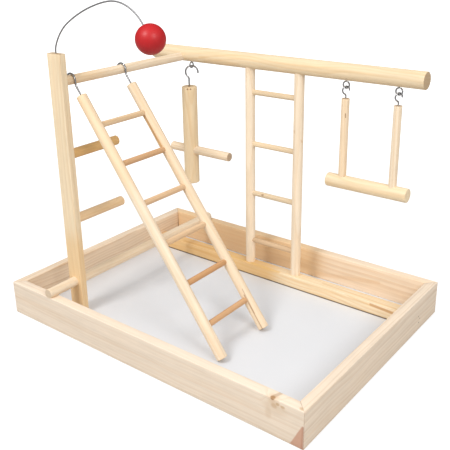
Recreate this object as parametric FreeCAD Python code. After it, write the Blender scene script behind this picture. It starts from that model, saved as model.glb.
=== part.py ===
import FreeCAD, Part
import math
import os

# Parrot play stand: a shallow tray with a tall post, a long dowel beam, perches, two
# dowel ladders, a swing, a hanging bar and a red ball on a bent wire arm.
#
# Frame: millimetres. The origin is on the surface the tray stands on, at the tray's
# middle. +X runs along the tray's long side, +Y to the back, +Z up. A stranger sees
# the tall post at the left of the front.

Vector = FreeCAD.Vector
X_AXIS = Vector(1, 0, 0)
Y_AXIS = Vector(0, 1, 0)
Z_AXIS = Vector(0, 0, 1)

# ---------------------------------------------------------------- driving dimensions

# Gaps
glue_gap = 0.05            # round a glued dowel end in its socket
drive_gap = 0.02           # round a driven nail or screw
running_gap = 0.05         # round the ball arm's foot, which turns in its hole
rest_gap = 0.1             # under the leaning ladder's feet
hook_gap = 0.3             # between a hook and what it hangs on
butt_gap = 0.1             # at each end of the base strip
cut_margin = 1.0           # a cutter runs this far past the face it opens

# Tray
tray_length = 530.0
tray_width = 386.0
wall_height = 53.0
wall_thickness = 15.0
wall_edge_radius = 1.0
panel_thickness = 4.0
panel_recess = 1.0         # the panel's underside is this far above the walls' feet
rabbet_width = 7.0         # the step in each wall's inner lower edge, for the panel
panel_edge_gap = 0.2

# Tray fasteners
corner_nail_length = 32.0
corner_nail_radius = 1.0
corner_nail_head_radius = 2.0
corner_nail_head_height = 0.8
corner_nail_heights = (14.0, 39.0)
panel_pin_length = 15.0
panel_pin_radius = 0.8
panel_pin_head_radius = 1.6
panel_pin_head_height = 0.6
panel_pins_per_long_wall = 4
panel_pins_per_short_wall = 3
panel_pin_end_margin = 60.0

# Countersunk wood screws, driven up through the panel
screw_radius = 1.75
screw_head_radius = 3.5
screw_head_height = 2.0
screw_point_length = 4.0
strip_screw_length = 20.0
post_screw_length = 32.0
recess_width = 0.8
recess_depth = 1.2

# Tall post
post_from_tray_left = 86.0
post_from_tray_front = 52.0
post_width = 27.0
post_depth = 11.0
post_above_top_perch = 40.0
post_edge_radius = 0.8
post_screw_spacing = 14.0
post_socket_depth = 8.0    # how far the perches go into the post's back

# Perches on the post
foot_perch_radius = 7.5
foot_perch_seat_depth = 1.9
foot_perch_back_lap = 7.0  # it crosses the front wall but only this much of the back wall
foot_perch_pin_radius = 1.0
foot_perch_pin_length = 16.0
top_perch_radius = 7.0
top_perch_below_beam_axis = 4.0
top_perch_beam_socket = 9.0
side_perch_radius = 7.5
upper_side_perch_height = 259.0
upper_side_perch_reach = 95.0
lower_side_perch_height = 158.0
lower_side_perch_reach = 97.0
dowel_chamfer = 0.8

# Beam
beam_radius = 12.5
beam_axis_height = 370.0
beam_from_tray_back = 60.0
beam_end_inset = 20.0
beam_chamfer = 1.0

# Base strip under the standing ladder
strip_depth = 20.0
strip_height = 20.0
strip_front_before_rails = 11.0
strip_edge_radius = 0.8
strip_screw_offset = 190.0

# Ladders
ladder_rail_radius = 8.0
rung_radius = 4.5
rung_socket_depth = 8.0
standing_ladder_x = 1.5
standing_rail_spacing = 91.0
standing_rail_strip_socket = 12.0
standing_rail_beam_socket = 12.0
standing_rung_count = 4
standing_rung_first_height = 66.0
standing_top_rung_below_beam_axis = 49.0
leaning_front_rail_behind_post = 16.5
leaning_rail_spacing = 99.0
leaning_angle = 53.8       # degrees from the floor
leaning_rail_below_perch = 27.8
leaning_rail_offset = 3.2  # the rail's axis passes this far from the perch's axis
leaning_rung_count = 6
leaning_rung_pitch = 63.6

# Leaning ladder's hooks
ladder_hook_wire_radius = 1.5
ladder_hook_bend_radius = 12.0
ladder_hook_sweep = 165.0  # degrees round the perch
ladder_hook_embed = 18.0

# Screw eyes under the beam
eye_wire_radius = 1.2
eye_shank_length = 12.0
swing_eye_ring_radius = 4.9
hanging_eye_ring_radius = 4.4
eye_seat_gap = 0.1

# Swing
swing_from_beam_end = 79.0
swing_rod_spacing = 81.0
swing_rod_radius = 6.0
swing_rod_top_drop = 26.0  # below the beam's underside
swing_rod_socket_depth = 13.0
swing_perch_radius = 10.5
swing_perch_length = 129.0
swing_perch_drop = 153.5   # its axis below the beam's underside
swing_hook_wire_radius = 1.2
swing_hook_radius = 5.7
swing_hook_return_radius = 3.0
swing_hook_embed = 12.0

# Hanging bar with its cross perch
hanging_eye_from_perch = 14.0
hanging_bar_radius = 13.0
hanging_bar_length = 171.0
hanging_bar_top_drop = 41.5
cross_perch_radius = 7.5
cross_perch_length = 126.0
cross_perch_offset = 21.0  # its middle stands this far to the right of the bar's axis
cross_perch_below_top = 111.0
hanging_hook_wire_radius = 1.5
hanging_hook_radius = 10.5
hanging_hook_return_radius = 6.0
hanging_hook_embed = 16.0
hook_tip_angle = -12.0     # degrees from level, where an open hook's tip ends
open_hook_turn = 30.0      # degrees the open hooks are turned out of their swinging planes

# Ball arm
arm_wire_radius = 1.3
arm_foot_depth = 25.0
arm_foot_rise = 2.0
arm_bend_radii = (22.0, 78.0, 230.0, 118.0, 61.0)
arm_bend_turns = (26.5, 31.5, 18.5, 6.5, 62.5)
arm_end_length = 19.0
ball_radius = 19.0

# ---------------------------------------------------------------- worked-out places

half_length = tray_length / 2
half_width = tray_width / 2
floor_height = panel_recess + panel_thickness
strip_top = floor_height + strip_height
post_x = -half_length + post_from_tray_left
post_front_y = -half_width + post_from_tray_front
post_back_y = post_front_y + post_depth
post_middle_y = post_front_y + post_depth / 2
beam_y = half_width - beam_from_tray_back
beam_underside = beam_axis_height - beam_radius
strip_front_y = beam_y - strip_front_before_rails
top_perch_height = beam_axis_height - top_perch_below_beam_axis
post_top_height = top_perch_height + post_above_top_perch
foot_perch_height = wall_height + foot_perch_radius - foot_perch_seat_depth
foot_perch_back_y = half_width - wall_thickness + foot_perch_back_lap
foot_perch_length = foot_perch_back_y + half_width
foot_perch_pin_ys = (-half_width + wall_thickness / 2,
                     foot_perch_back_y - foot_perch_back_lap / 2)
rail_offset = standing_rail_spacing / 2
rail_xs = (standing_ladder_x - rail_offset, standing_ladder_x + rail_offset)
leaning_front_rail_y = post_back_y + leaning_front_rail_behind_post
leaning_rail_ys = (leaning_front_rail_y, leaning_front_rail_y + leaning_rail_spacing)
hanging_eye_x = post_x + hanging_eye_from_perch
sin_turn = math.sin(math.radians(open_hook_turn))
cos_turn = math.cos(math.radians(open_hook_turn))
swing_x = half_length - beam_end_inset - swing_from_beam_end
swing_rod_xs = (swing_x - swing_rod_spacing / 2, swing_x + swing_rod_spacing / 2)
post_screw_xs = (post_x - post_screw_spacing / 2, post_x + post_screw_spacing / 2)
standing_rung_span = (beam_axis_height - standing_top_rung_below_beam_axis
                      - standing_rung_first_height)
standing_rung_pitch = standing_rung_span / (standing_rung_count - 1)
strip_screw_xs = (standing_ladder_x - strip_screw_offset, standing_ladder_x,
                  standing_ladder_x + strip_screw_offset)


# ---------------------------------------------------------------- general shapes

def box_between(low, high):
    """A box from its lowest to its highest corner."""
    return Part.makeBox(high[0] - low[0], high[1] - low[1], high[2] - low[2],
                        Vector(*low))


def turned(profile, base, axis):
    """A solid turned from (radius, height) points, standing on base along axis."""
    points = [Vector(radius, 0, height) for radius, height in profile]
    face = Part.Face(Part.makePolygon(points + [points[0]]))
    solid = face.revolve(Vector(0, 0, 0), Z_AXIS, 360)
    solid.Placement = FreeCAD.Placement(base, FreeCAD.Rotation(Z_AXIS, axis))
    return solid


def dowel(base, axis, length, radius, start_chamfer=0.0, end_chamfer=0.0):
    """A round rod with its arrises taken off."""
    profile = [(0, 0), (radius - start_chamfer, 0)]
    if start_chamfer > 0:
        profile.append((radius, start_chamfer))
    if end_chamfer > 0:
        profile.append((radius, length - end_chamfer))
    profile += [(radius - end_chamfer, length), (0, length)]
    return turned(profile, base, axis)


def hole(base, axis, length, radius, gap):
    """The round cutter for a rod of this radius, deeper and wider by its gap."""
    return Part.makeCylinder(radius + gap, length + gap, base, axis)


def rounded_bar(low, high, along, radius):
    """A square bar whose long edges are rounded."""
    bar = box_between(low, high)
    long_edges = [edge for edge in bar.Edges
                  if abs(edge.tangentAt(edge.FirstParameter).dot(along)) > 0.99]
    return bar.makeFillet(radius, long_edges)


def cut_all(shape, cutters):
    for cutter in cutters:
        shape = shape.cut(cutter)
    return shape


def headed(length, radius, head_radius, head_height, gap, base, axis):
    """A nail from its head's top at base, or with a gap its hole."""
    profile = [(0, -gap), (head_radius + gap, -gap), (head_radius + gap, head_height + gap),
               (radius + gap, head_height + gap), (radius + gap, length - 2 * radius),
               (0, length + gap)]
    return turned(profile, base, axis)


def wood_screw(length, gap, base, axis):
    """A countersunk screw from its head's face at base, or with a gap its hole."""
    profile = [(0, 0), (screw_head_radius + gap, 0), (screw_radius + gap, screw_head_height),
               (screw_radius + gap, length - screw_point_length), (0, length + gap)]
    return turned(profile, base, axis)


def recessed_screw(length, base, axis):
    """A wood screw with a cross recess in its head."""
    screw = wood_screw(length, 0.0, base, axis)
    arm = screw_head_radius
    width = recess_width
    bars = [box_between((-arm / 2, -width / 2, -recess_depth), (arm / 2, width / 2, recess_depth)),
            box_between((-width / 2, -arm / 2, -recess_depth), (width / 2, arm / 2, recess_depth))]
    for bar in bars:
        bar.Placement = FreeCAD.Placement(base, FreeCAD.Rotation(Z_AXIS, axis))
    return cut_all(screw, bars)


def walk(start, heading, moves, place):
    """Joined lines and tangent arcs in a plane.

    Each move is (0, length) for a run or (radius, turn) for an arc that turns left by
    that many degrees. place turns plane coordinates into a point in space.
    """
    edges = []
    a, b = start
    angle = math.radians(heading)
    for radius, amount in moves:
        if radius == 0:
            end = (a + amount * math.cos(angle), b + amount * math.sin(angle))
            edges.append(Part.LineSegment(place(a, b), place(*end)).toShape())
        else:
            turn = math.radians(amount)
            side = math.copysign(1, amount)
            centre = (a - side * radius * math.sin(angle), b + side * radius * math.cos(angle))

            def on_arc(share):
                spoke = angle + share * turn - side * math.pi / 2
                return (centre[0] + radius * math.cos(spoke),
                        centre[1] + radius * math.sin(spoke))

            end = on_arc(1.0)
            edges.append(Part.Arc(place(a, b), place(*on_arc(0.5)), place(*end)).toShape())
            angle += turn
        a, b = end
    return edges, (a, b)


def bent_wire(edges, radius):
    """A round wire along joined edges."""
    path = Part.Wire(edges)
    start = edges[0].valueAt(edges[0].FirstParameter)
    direction = edges[0].tangentAt(edges[0].FirstParameter)
    section = Part.Wire([Part.makeCircle(radius, start, direction)])
    return path.makePipeShell([section], True, False)


# ---------------------------------------------------------------- tray

def tray_wall(low, high, along, rabbet_low, rabbet_high):
    wall = rounded_bar(low, high, along, wall_edge_radius)
    return wall.cut(box_between(rabbet_low, rabbet_high))


def mitre_wedges(for_long_wall):
    """The triangular prisms that a wall leaves to its neighbours at the four corners."""
    outside = cut_margin
    inside = -wall_thickness - cut_margin
    third = (outside, inside) if for_long_wall else (inside, outside)
    wedges = []
    for side_x in (-1, 1):
        for side_y in (-1, 1):
            points = [Vector(side_x * (half_length + a), side_y * (half_width + b), -cut_margin)
                      for a, b in ((outside, outside), (inside, inside), third)]
            face = Part.Face(Part.makePolygon(points + [points[0]]))
            wedges.append(face.extrude(Z_AXIS * (wall_height + 2 * cut_margin)))
    return wedges


def corner_nail_shapes(gap):
    shapes = []
    for side_x in (-1, 1):
        for side_y in (-1, 1):
            for height in corner_nail_heights:
                base = Vector(side_x * half_length, side_y * (half_width - wall_thickness / 2),
                              height)
                shapes.append(headed(corner_nail_length, corner_nail_radius,
                                     corner_nail_head_radius, corner_nail_head_height,
                                     gap, base, X_AXIS * -side_x))
    return shapes


def spread(count, half_span):
    """Evenly spaced places from one end of a span to the other."""
    step = 2 * half_span / (count - 1)
    return [-half_span + index * step for index in range(count)]


def panel_pin_places():
    inset = wall_thickness - rabbet_width / 2
    long_half = half_length - panel_pin_end_margin
    short_half = half_width - panel_pin_end_margin
    places = []
    for side in (-1, 1):
        places += [(x, side * (half_width - inset))
                   for x in spread(panel_pins_per_long_wall, long_half)]
        places += [(side * (half_length - inset), y)
                   for y in spread(panel_pins_per_short_wall, short_half)]
    return places


def panel_pin_shapes(gap):
    return [headed(panel_pin_length, panel_pin_radius, panel_pin_head_radius,
                   panel_pin_head_height, gap, Vector(x, y, panel_recess), Z_AXIS)
            for x, y in panel_pin_places()]


def make_tray():
    ledge_x = half_length - wall_thickness + rabbet_width
    ledge_y = half_width - wall_thickness + rabbet_width
    inner_x = half_length - wall_thickness
    inner_y = half_width - wall_thickness
    rabbet = ((-ledge_x, -ledge_y, -cut_margin), (ledge_x, ledge_y, floor_height))
    fasteners = corner_nail_shapes(drive_gap) + panel_pin_shapes(drive_gap)
    seat = foot_perch_cutter(glue_gap)
    seat_pins = foot_perch_pin_shapes(drive_gap)

    long_walls = {}
    for name, low_y, high_y in (("tray_front_wall", -half_width, -inner_y),
                                ("tray_back_wall", inner_y, half_width)):
        wall = tray_wall((-half_length, low_y, 0), (half_length, high_y, wall_height),
                         X_AXIS, *rabbet)
        long_walls[name] = cut_all(wall, mitre_wedges(True) + fasteners + [seat] + seat_pins)

    short_walls = {}
    for name, low_x, high_x in (("tray_left_wall", -half_length, -inner_x),
                                ("tray_right_wall", inner_x, half_length)):
        wall = tray_wall((low_x, -half_width, 0), (high_x, half_width, wall_height),
                         Y_AXIS, *rabbet)
        short_walls[name] = cut_all(wall, mitre_wedges(False) + fasteners)

    panel = box_between((-ledge_x + panel_edge_gap, -ledge_y + panel_edge_gap, panel_recess),
                        (ledge_x - panel_edge_gap, ledge_y - panel_edge_gap, floor_height))
    panel = cut_all(panel, panel_pin_shapes(drive_gap) + strip_screw_shapes(drive_gap)
                    + post_screw_shapes(drive_gap))

    nodes = {}
    nodes.update(long_walls)
    nodes.update(short_walls)
    nodes["floor_panel"] = panel
    nodes["corner_nails"] = Part.makeCompound(corner_nail_shapes(0.0))
    nodes["panel_pins"] = Part.makeCompound(panel_pin_shapes(0.0))
    return nodes


# ---------------------------------------------------------------- post and perches

def screw_base(x, y):
    return Vector(x, y, panel_recess)


def post_screw_shapes(gap):
    return [wood_screw(post_screw_length, gap, screw_base(x, post_middle_y), Z_AXIS)
            for x in post_screw_xs]


def strip_screw_shapes(gap):
    return [wood_screw(strip_screw_length, gap, screw_base(x, beam_y), Z_AXIS)
            for x in strip_screw_xs]


def foot_perch_cutter(gap):
    return hole(Vector(post_x, -half_width, foot_perch_height), Y_AXIS, foot_perch_length,
                foot_perch_radius, gap)


def foot_perch_pin_shapes(gap):
    """Headless pins that stand half in the foot perch and half in a tray wall."""
    low = foot_perch_height - foot_perch_radius - foot_perch_pin_length / 2
    return [Part.makeCylinder(foot_perch_pin_radius + gap, foot_perch_pin_length,
                              Vector(post_x, y, low), Z_AXIS)
            for y in foot_perch_pin_ys]


def post_perch(height, end_y, radius, end_chamfer):
    start_y = post_back_y - post_socket_depth
    return dowel(Vector(post_x, start_y, height), Y_AXIS, end_y - start_y, radius,
                 0.0, end_chamfer)


def post_socket(height, radius):
    return hole(Vector(post_x, post_back_y, height), Y_AXIS * -1, post_socket_depth, radius,
                glue_gap)


def top_perch_end():
    """Where the top perch ends inside the beam, from the beam's front line."""
    drop = top_perch_below_beam_axis
    front = beam_y - math.sqrt(beam_radius ** 2 - drop ** 2)
    return front + top_perch_beam_socket


def make_post_and_perches():
    half_post = post_width / 2
    post = rounded_bar((post_x - half_post, post_front_y, floor_height),
                       (post_x + half_post, post_back_y, post_top_height),
                       Z_AXIS, post_edge_radius)
    arm_hole = hole(Vector(post_x, post_middle_y, post_top_height), Z_AXIS * -1,
                    arm_foot_depth, arm_wire_radius, running_gap)
    post = cut_all(post, [foot_perch_cutter(glue_gap), arm_hole,
                          post_socket(top_perch_height, top_perch_radius),
                          post_socket(upper_side_perch_height, side_perch_radius),
                          post_socket(lower_side_perch_height, side_perch_radius)]
                   + post_screw_shapes(drive_gap))

    foot_perch = dowel(Vector(post_x, -half_width, foot_perch_height), Y_AXIS,
                       foot_perch_length, foot_perch_radius, dowel_chamfer, dowel_chamfer)
    foot_perch = cut_all(foot_perch, foot_perch_pin_shapes(drive_gap))

    return {
        "tall_post": post,
        "post_screws": Part.makeCompound(
            [recessed_screw(post_screw_length, screw_base(x, post_middle_y), Z_AXIS)
             for x in post_screw_xs]),
        "foot_perch": foot_perch,
        "foot_perch_pins": Part.makeCompound(foot_perch_pin_shapes(0.0)),
        "top_perch": post_perch(top_perch_height, top_perch_end(), top_perch_radius, 0.0),
        "upper_side_perch": post_perch(upper_side_perch_height,
                                       post_back_y + upper_side_perch_reach,
                                       side_perch_radius, dowel_chamfer),
        "lower_side_perch": post_perch(lower_side_perch_height,
                                       post_back_y + lower_side_perch_reach,
                                       side_perch_radius, dowel_chamfer),
    }


# ---------------------------------------------------------------- beam, strip, ladder

def eye_shank(x, gap):
    return Part.makeCylinder(eye_wire_radius + gap, eye_shank_length + eye_seat_gap
                             + eye_wire_radius + gap,
                             Vector(x, beam_y, beam_underside - eye_seat_gap - eye_wire_radius),
                             Z_AXIS)


def eye_centre_height(ring_radius):
    return beam_underside - eye_seat_gap - eye_wire_radius - ring_radius


def screw_eye(x, ring_radius, ring_axis):
    """A wire ring under the beam on a shank that is screwed up into it."""
    ring = Part.makeTorus(ring_radius, eye_wire_radius,
                          Vector(x, beam_y, eye_centre_height(ring_radius)), ring_axis)
    return ring.fuse(eye_shank(x, 0.0)).removeSplitter()


def make_beam_and_strip():
    beam = dowel(Vector(-half_length + beam_end_inset, beam_y, beam_axis_height), X_AXIS,
                 tray_length - 2 * beam_end_inset, beam_radius, beam_chamfer, beam_chamfer)
    rail_top = beam_underside + standing_rail_beam_socket
    rail_foot = strip_top - standing_rail_strip_socket
    beam_sockets = [hole(Vector(x, beam_y, rail_foot), Z_AXIS, rail_top - rail_foot,
                         ladder_rail_radius, glue_gap) for x in rail_xs]
    perch_socket = hole(Vector(post_x, post_back_y, top_perch_height), Y_AXIS,
                        top_perch_end() - post_back_y, top_perch_radius, glue_gap)
    eye_holes = [eye_shank(x, drive_gap) for x in (hanging_eye_x,) + swing_rod_xs]
    beam = cut_all(beam, beam_sockets + [perch_socket] + eye_holes)

    strip_half = half_length - wall_thickness - butt_gap
    strip = rounded_bar((-strip_half, strip_front_y, floor_height),
                        (strip_half, strip_front_y + strip_depth, strip_top),
                        X_AXIS, strip_edge_radius)
    strip_sockets = [hole(Vector(x, beam_y, strip_top), Z_AXIS * -1,
                          standing_rail_strip_socket, ladder_rail_radius, glue_gap)
                     for x in rail_xs]
    strip = cut_all(strip, strip_sockets + strip_screw_shapes(drive_gap))

    return {
        "main_beam": beam,
        "base_strip": strip,
        "base_strip_screws": Part.makeCompound(
            [recessed_screw(strip_screw_length, screw_base(x, beam_y), Z_AXIS)
             for x in strip_screw_xs]),
        "hanging_bar_eye": screw_eye(hanging_eye_x, hanging_eye_ring_radius, X_AXIS),
        "swing_left_eye": screw_eye(swing_rod_xs[0], swing_eye_ring_radius, Y_AXIS),
        "swing_right_eye": screw_eye(swing_rod_xs[1], swing_eye_ring_radius, Y_AXIS),
    }


def make_standing_ladder():
    foot = strip_top - standing_rail_strip_socket
    top = beam_underside + standing_rail_beam_socket
    heights = [standing_rung_first_height + index * standing_rung_pitch
               for index in range(standing_rung_count)]
    inner_left = rail_xs[0] + ladder_rail_radius
    inner_right = rail_xs[1] - ladder_rail_radius
    rung_start = inner_left - rung_socket_depth
    rung_length = inner_right - inner_left + 2 * rung_socket_depth
    rung_holes = [hole(Vector(rung_start - glue_gap, beam_y, height), X_AXIS,
                       rung_length + glue_gap, rung_radius, glue_gap) for height in heights]

    nodes = {}
    for name, x in zip(("standing_ladder_left_rail", "standing_ladder_right_rail"), rail_xs):
        rail = dowel(Vector(x, beam_y, foot), Z_AXIS, top - foot, ladder_rail_radius)
        nodes[name] = cut_all(rail, rung_holes)
    for index, height in enumerate(heights):
        nodes["standing_ladder_rung_%d" % (index + 1)] = dowel(
            Vector(rung_start, beam_y, height), X_AXIS, rung_length, rung_radius)
    return nodes


# ---------------------------------------------------------------- leaning ladder

lean = math.radians(leaning_angle)
down_slope = Vector(math.cos(lean), 0, -math.sin(lean))
off_slope = Vector(math.sin(lean), 0, math.cos(lean))


def leaning_rail_top(y):
    perch = Vector(post_x, y, top_perch_height)
    return perch + down_slope * leaning_rail_below_perch + off_slope * leaning_rail_offset


def leaning_rail_length():
    """The lowest point of each rail's square end stops rest_gap above the floor."""
    top = leaning_rail_top(0.0).z
    return (top - ladder_rail_radius * math.cos(lean) - floor_height - rest_gap) / math.sin(lean)


def ladder_hook_edges(y):
    """From inside the rail's top, along the rail, up beside the perch and over it."""
    top = leaning_rail_top(y)
    reach = top_perch_radius + hook_gap + ladder_hook_wire_radius
    bend = ladder_hook_bend_radius
    along = (top.x - post_x - reach - bend * (1 - math.sin(lean))) / math.cos(lean)
    rise = top_perch_height - top.z - along * math.sin(lean) - bend * math.cos(lean)
    start = top + down_slope * ladder_hook_embed
    moves = [(0, ladder_hook_embed + along), (bend, leaning_angle - 90), (0, rise),
             (reach, ladder_hook_sweep)]
    edges, _ = walk((start.x, start.z), 180 - leaning_angle, moves,
                    lambda a, b: Vector(a, y, b))
    return edges


def make_leaning_ladder():
    length = leaning_rail_length()
    first = (length - (leaning_rung_count - 1) * leaning_rung_pitch) / 2
    inner_front = leaning_rail_ys[0] + ladder_rail_radius
    inner_back = leaning_rail_ys[1] - ladder_rail_radius
    rung_start = inner_front - rung_socket_depth
    rung_length = inner_back - inner_front + 2 * rung_socket_depth
    rung_bases = [leaning_rail_top(rung_start) + down_slope * (first + index * leaning_rung_pitch)
                  for index in range(leaning_rung_count)]
    rung_holes = [hole(base - Y_AXIS * glue_gap, Y_AXIS, rung_length + glue_gap, rung_radius,
                       glue_gap) for base in rung_bases]

    nodes = {}
    for side, y in zip(("front", "back"), leaning_rail_ys):
        top = leaning_rail_top(y)
        rail = dowel(top, down_slope, length, ladder_rail_radius, dowel_chamfer, 0.0)
        hook_hole = hole(top, down_slope, ladder_hook_embed, ladder_hook_wire_radius, drive_gap)
        nodes["leaning_ladder_%s_rail" % side] = cut_all(rail, rung_holes + [hook_hole])
        nodes["leaning_ladder_%s_hook" % side] = bent_wire(ladder_hook_edges(y),
                                                           ladder_hook_wire_radius)
    for index, base in enumerate(rung_bases):
        nodes["leaning_ladder_rung_%d" % (index + 1)] = dowel(base, Y_AXIS, rung_length,
                                                              rung_radius)
    return nodes


# ---------------------------------------------------------------- hanging pieces

def hook_centre_height(ring_radius, hook_wire_radius, hook_radius):
    """The open hook's middle when its crown rests in the bottom of the eye's ring."""
    ring_bottom = eye_centre_height(ring_radius) - ring_radius
    return ring_bottom + eye_wire_radius + hook_gap + hook_wire_radius - hook_radius


def open_hook_edges(centre, radius, return_radius, stem_offset, stem_end, place):
    """An open hook: its tip, over the crown, round to a return bend and down a stem.

    The stem stands stem_offset to the right of the hook's middle. The plane's first
    coordinate grows towards the tip.
    """
    middle_a, middle_b = centre
    joined = radius + return_radius
    return_a = stem_offset - return_radius
    return_b = -math.sqrt(joined ** 2 - return_a ** 2)
    spoke = math.degrees(math.atan2(return_b, return_a)) % 360
    start = (middle_a + radius * math.cos(math.radians(hook_tip_angle)),
             middle_b + radius * math.sin(math.radians(hook_tip_angle)))
    return_turn = 270 - (spoke + 90)
    stem_length = middle_b + return_b - stem_end
    moves = [(radius, spoke - hook_tip_angle), (return_radius, return_turn), (0, stem_length)]
    edges, _ = walk(start, hook_tip_angle + 90, moves, place)
    return edges


def make_swing():
    rod_top = beam_underside - swing_rod_top_drop
    perch_height = beam_underside - swing_perch_drop
    rod_foot = perch_height + swing_perch_radius - swing_rod_socket_depth
    hook_height = hook_centre_height(swing_eye_ring_radius, swing_hook_wire_radius,
                                     swing_hook_radius)
    perch = dowel(Vector(swing_x - swing_perch_length / 2, beam_y, perch_height), X_AXIS,
                  swing_perch_length, swing_perch_radius, dowel_chamfer, dowel_chamfer)
    nodes = {}
    for side, x in zip(("left", "right"), swing_rod_xs):
        rod = dowel(Vector(x, beam_y, rod_foot), Z_AXIS, rod_top - rod_foot,
                    swing_rod_radius, 0.0, dowel_chamfer)
        hook_hole = hole(Vector(x, beam_y, rod_top), Z_AXIS * -1, swing_hook_embed,
                         swing_hook_wire_radius, drive_gap)
        perch = perch.cut(hole(Vector(x, beam_y, rod_top), Z_AXIS * -1, rod_top - rod_foot,
                               swing_rod_radius, glue_gap))
        edges = open_hook_edges((0.0, hook_height), swing_hook_radius,
                                swing_hook_return_radius, 0.0, rod_top - swing_hook_embed,
                                lambda a, b, x=x: Vector(x + a * sin_turn,
                                                         beam_y + a * cos_turn, b))
        nodes["swing_%s_rod" % side] = rod.cut(hook_hole)
        nodes["swing_%s_hook" % side] = bent_wire(edges, swing_hook_wire_radius)
    nodes["swing_perch"] = perch
    return nodes


def hanging_bar_x():
    """The bar hangs off its eye by as much as the cross perch's weight pulls it."""
    cross_volume = math.pi * cross_perch_radius ** 2 * cross_perch_length
    bored = math.pi * cross_perch_radius ** 2 * 2 * hanging_bar_radius
    bar_volume = math.pi * hanging_bar_radius ** 2 * hanging_bar_length - bored
    return hanging_eye_x - cross_perch_offset * cross_volume / (cross_volume + bar_volume)


def make_hanging_bar():
    bar_x = hanging_bar_x()
    stem_offset = (bar_x - hanging_eye_x) / cos_turn
    bar_y = beam_y + stem_offset * sin_turn
    bar_top = beam_underside - hanging_bar_top_drop
    cross_height = bar_top - cross_perch_below_top
    cross_start = bar_x + cross_perch_offset - cross_perch_length / 2
    hook_height = hook_centre_height(hanging_eye_ring_radius, hanging_hook_wire_radius,
                                     hanging_hook_radius)
    bar = dowel(Vector(bar_x, bar_y, bar_top - hanging_bar_length), Z_AXIS,
                hanging_bar_length, hanging_bar_radius, dowel_chamfer, dowel_chamfer)
    cross_bore = Part.makeCylinder(cross_perch_radius + glue_gap, cross_perch_length,
                                   Vector(cross_start, bar_y, cross_height), X_AXIS)
    hook_hole = hole(Vector(bar_x, bar_y, bar_top), Z_AXIS * -1, hanging_hook_embed,
                     hanging_hook_wire_radius, drive_gap)
    edges = open_hook_edges((0.0, hook_height), hanging_hook_radius,
                            hanging_hook_return_radius, stem_offset,
                            bar_top - hanging_hook_embed,
                            lambda a, b: Vector(hanging_eye_x + a * cos_turn,
                                                beam_y + a * sin_turn, b))
    return {
        "hanging_bar": cut_all(bar, [cross_bore, hook_hole]),
        "hanging_bar_hook": bent_wire(edges, hanging_hook_wire_radius),
        "cross_perch": dowel(Vector(cross_start, bar_y, cross_height), X_AXIS,
                             cross_perch_length, cross_perch_radius, dowel_chamfer,
                             dowel_chamfer),
    }


def make_ball_arm():
    """A bent wire whose straight foot turns in the post's top, with a ball on its end."""
    bends = [(radius, -turn) for radius, turn in zip(arm_bend_radii, arm_bend_turns)]
    moves = [(0, arm_foot_depth + arm_foot_rise)] + bends + [(0, arm_end_length)]
    edges, end = walk((post_x, post_top_height - arm_foot_depth), 90, moves,
                      lambda a, b: Vector(a, post_middle_y, b))
    last = edges[-1]
    into_ball = last.tangentAt(last.LastParameter)
    ball_middle = Vector(end[0], post_middle_y, end[1])
    bore = hole(ball_middle - into_ball * 2 * ball_radius, into_ball, 2 * ball_radius,
                arm_wire_radius, drive_gap)
    return {
        "ball_arm_wire": bent_wire(edges, arm_wire_radius),
        "red_ball": Part.makeSphere(ball_radius, ball_middle).cut(bore),
    }


# ---------------------------------------------------------------- write the pieces

def main():
    nodes = {}
    for part in (make_tray(), make_post_and_perches(), make_beam_and_strip(),
                 make_standing_ladder(), make_leaning_ladder(), make_swing(),
                 make_hanging_bar(), make_ball_arm()):
        nodes.update(part)

    os.makedirs("parts", exist_ok=True)
    for name, shape in nodes.items():
        if not shape.isValid() or not shape.Solids:
            raise RuntimeError("%s isn't a valid solid" % name)
        shape.exportStep(os.path.join("parts", name + ".step"))
        box = shape.BoundBox
        print("%-28s %d solids %9.0f mm3  x %.1f %.1f  y %.1f %.1f  z %.1f %.1f" % (
            name, len(shape.Solids), shape.Volume, box.XMin, box.XMax, box.YMin, box.YMax,
            box.ZMin, box.ZMax))
    print("%d nodes" % len(nodes))


main()
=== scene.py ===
"""Parrot play stand: its pine, dowels, wire and lacquer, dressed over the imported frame.

The sizes below are in metres, in the frame's own place: +X along the tray's long side,
+Y to the back, +Z up, with the surface the tray stands on at zero.
"""
import math
import random

import bmesh
import bpy
from bpy.props import (FloatProperty, FloatVectorProperty, IntProperty, PointerProperty)
from mathutils import Matrix, Vector, noise


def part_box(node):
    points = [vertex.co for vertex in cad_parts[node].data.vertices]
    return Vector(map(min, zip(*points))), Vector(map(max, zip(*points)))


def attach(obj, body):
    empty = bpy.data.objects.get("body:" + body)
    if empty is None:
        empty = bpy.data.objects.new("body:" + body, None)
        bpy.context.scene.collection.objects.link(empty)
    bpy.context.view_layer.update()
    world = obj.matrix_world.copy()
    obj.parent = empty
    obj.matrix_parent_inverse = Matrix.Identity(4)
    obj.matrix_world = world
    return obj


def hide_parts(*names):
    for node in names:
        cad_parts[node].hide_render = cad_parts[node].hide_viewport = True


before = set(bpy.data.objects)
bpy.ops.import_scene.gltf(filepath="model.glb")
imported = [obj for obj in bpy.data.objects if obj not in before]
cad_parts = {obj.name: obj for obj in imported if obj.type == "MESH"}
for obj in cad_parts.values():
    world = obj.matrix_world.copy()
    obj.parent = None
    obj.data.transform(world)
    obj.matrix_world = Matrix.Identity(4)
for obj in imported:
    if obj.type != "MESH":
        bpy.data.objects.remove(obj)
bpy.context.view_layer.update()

bl_info = {
    "name": "Parrot play stand",
    "version": (1, 0, 0),
    "blender": (4, 5, 0),
    "location": "3D View > Sidebar > Play stand",
    "description": "Builds a wooden tabletop play stand for a small parrot",
    "category": "Add Mesh",
}

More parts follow.
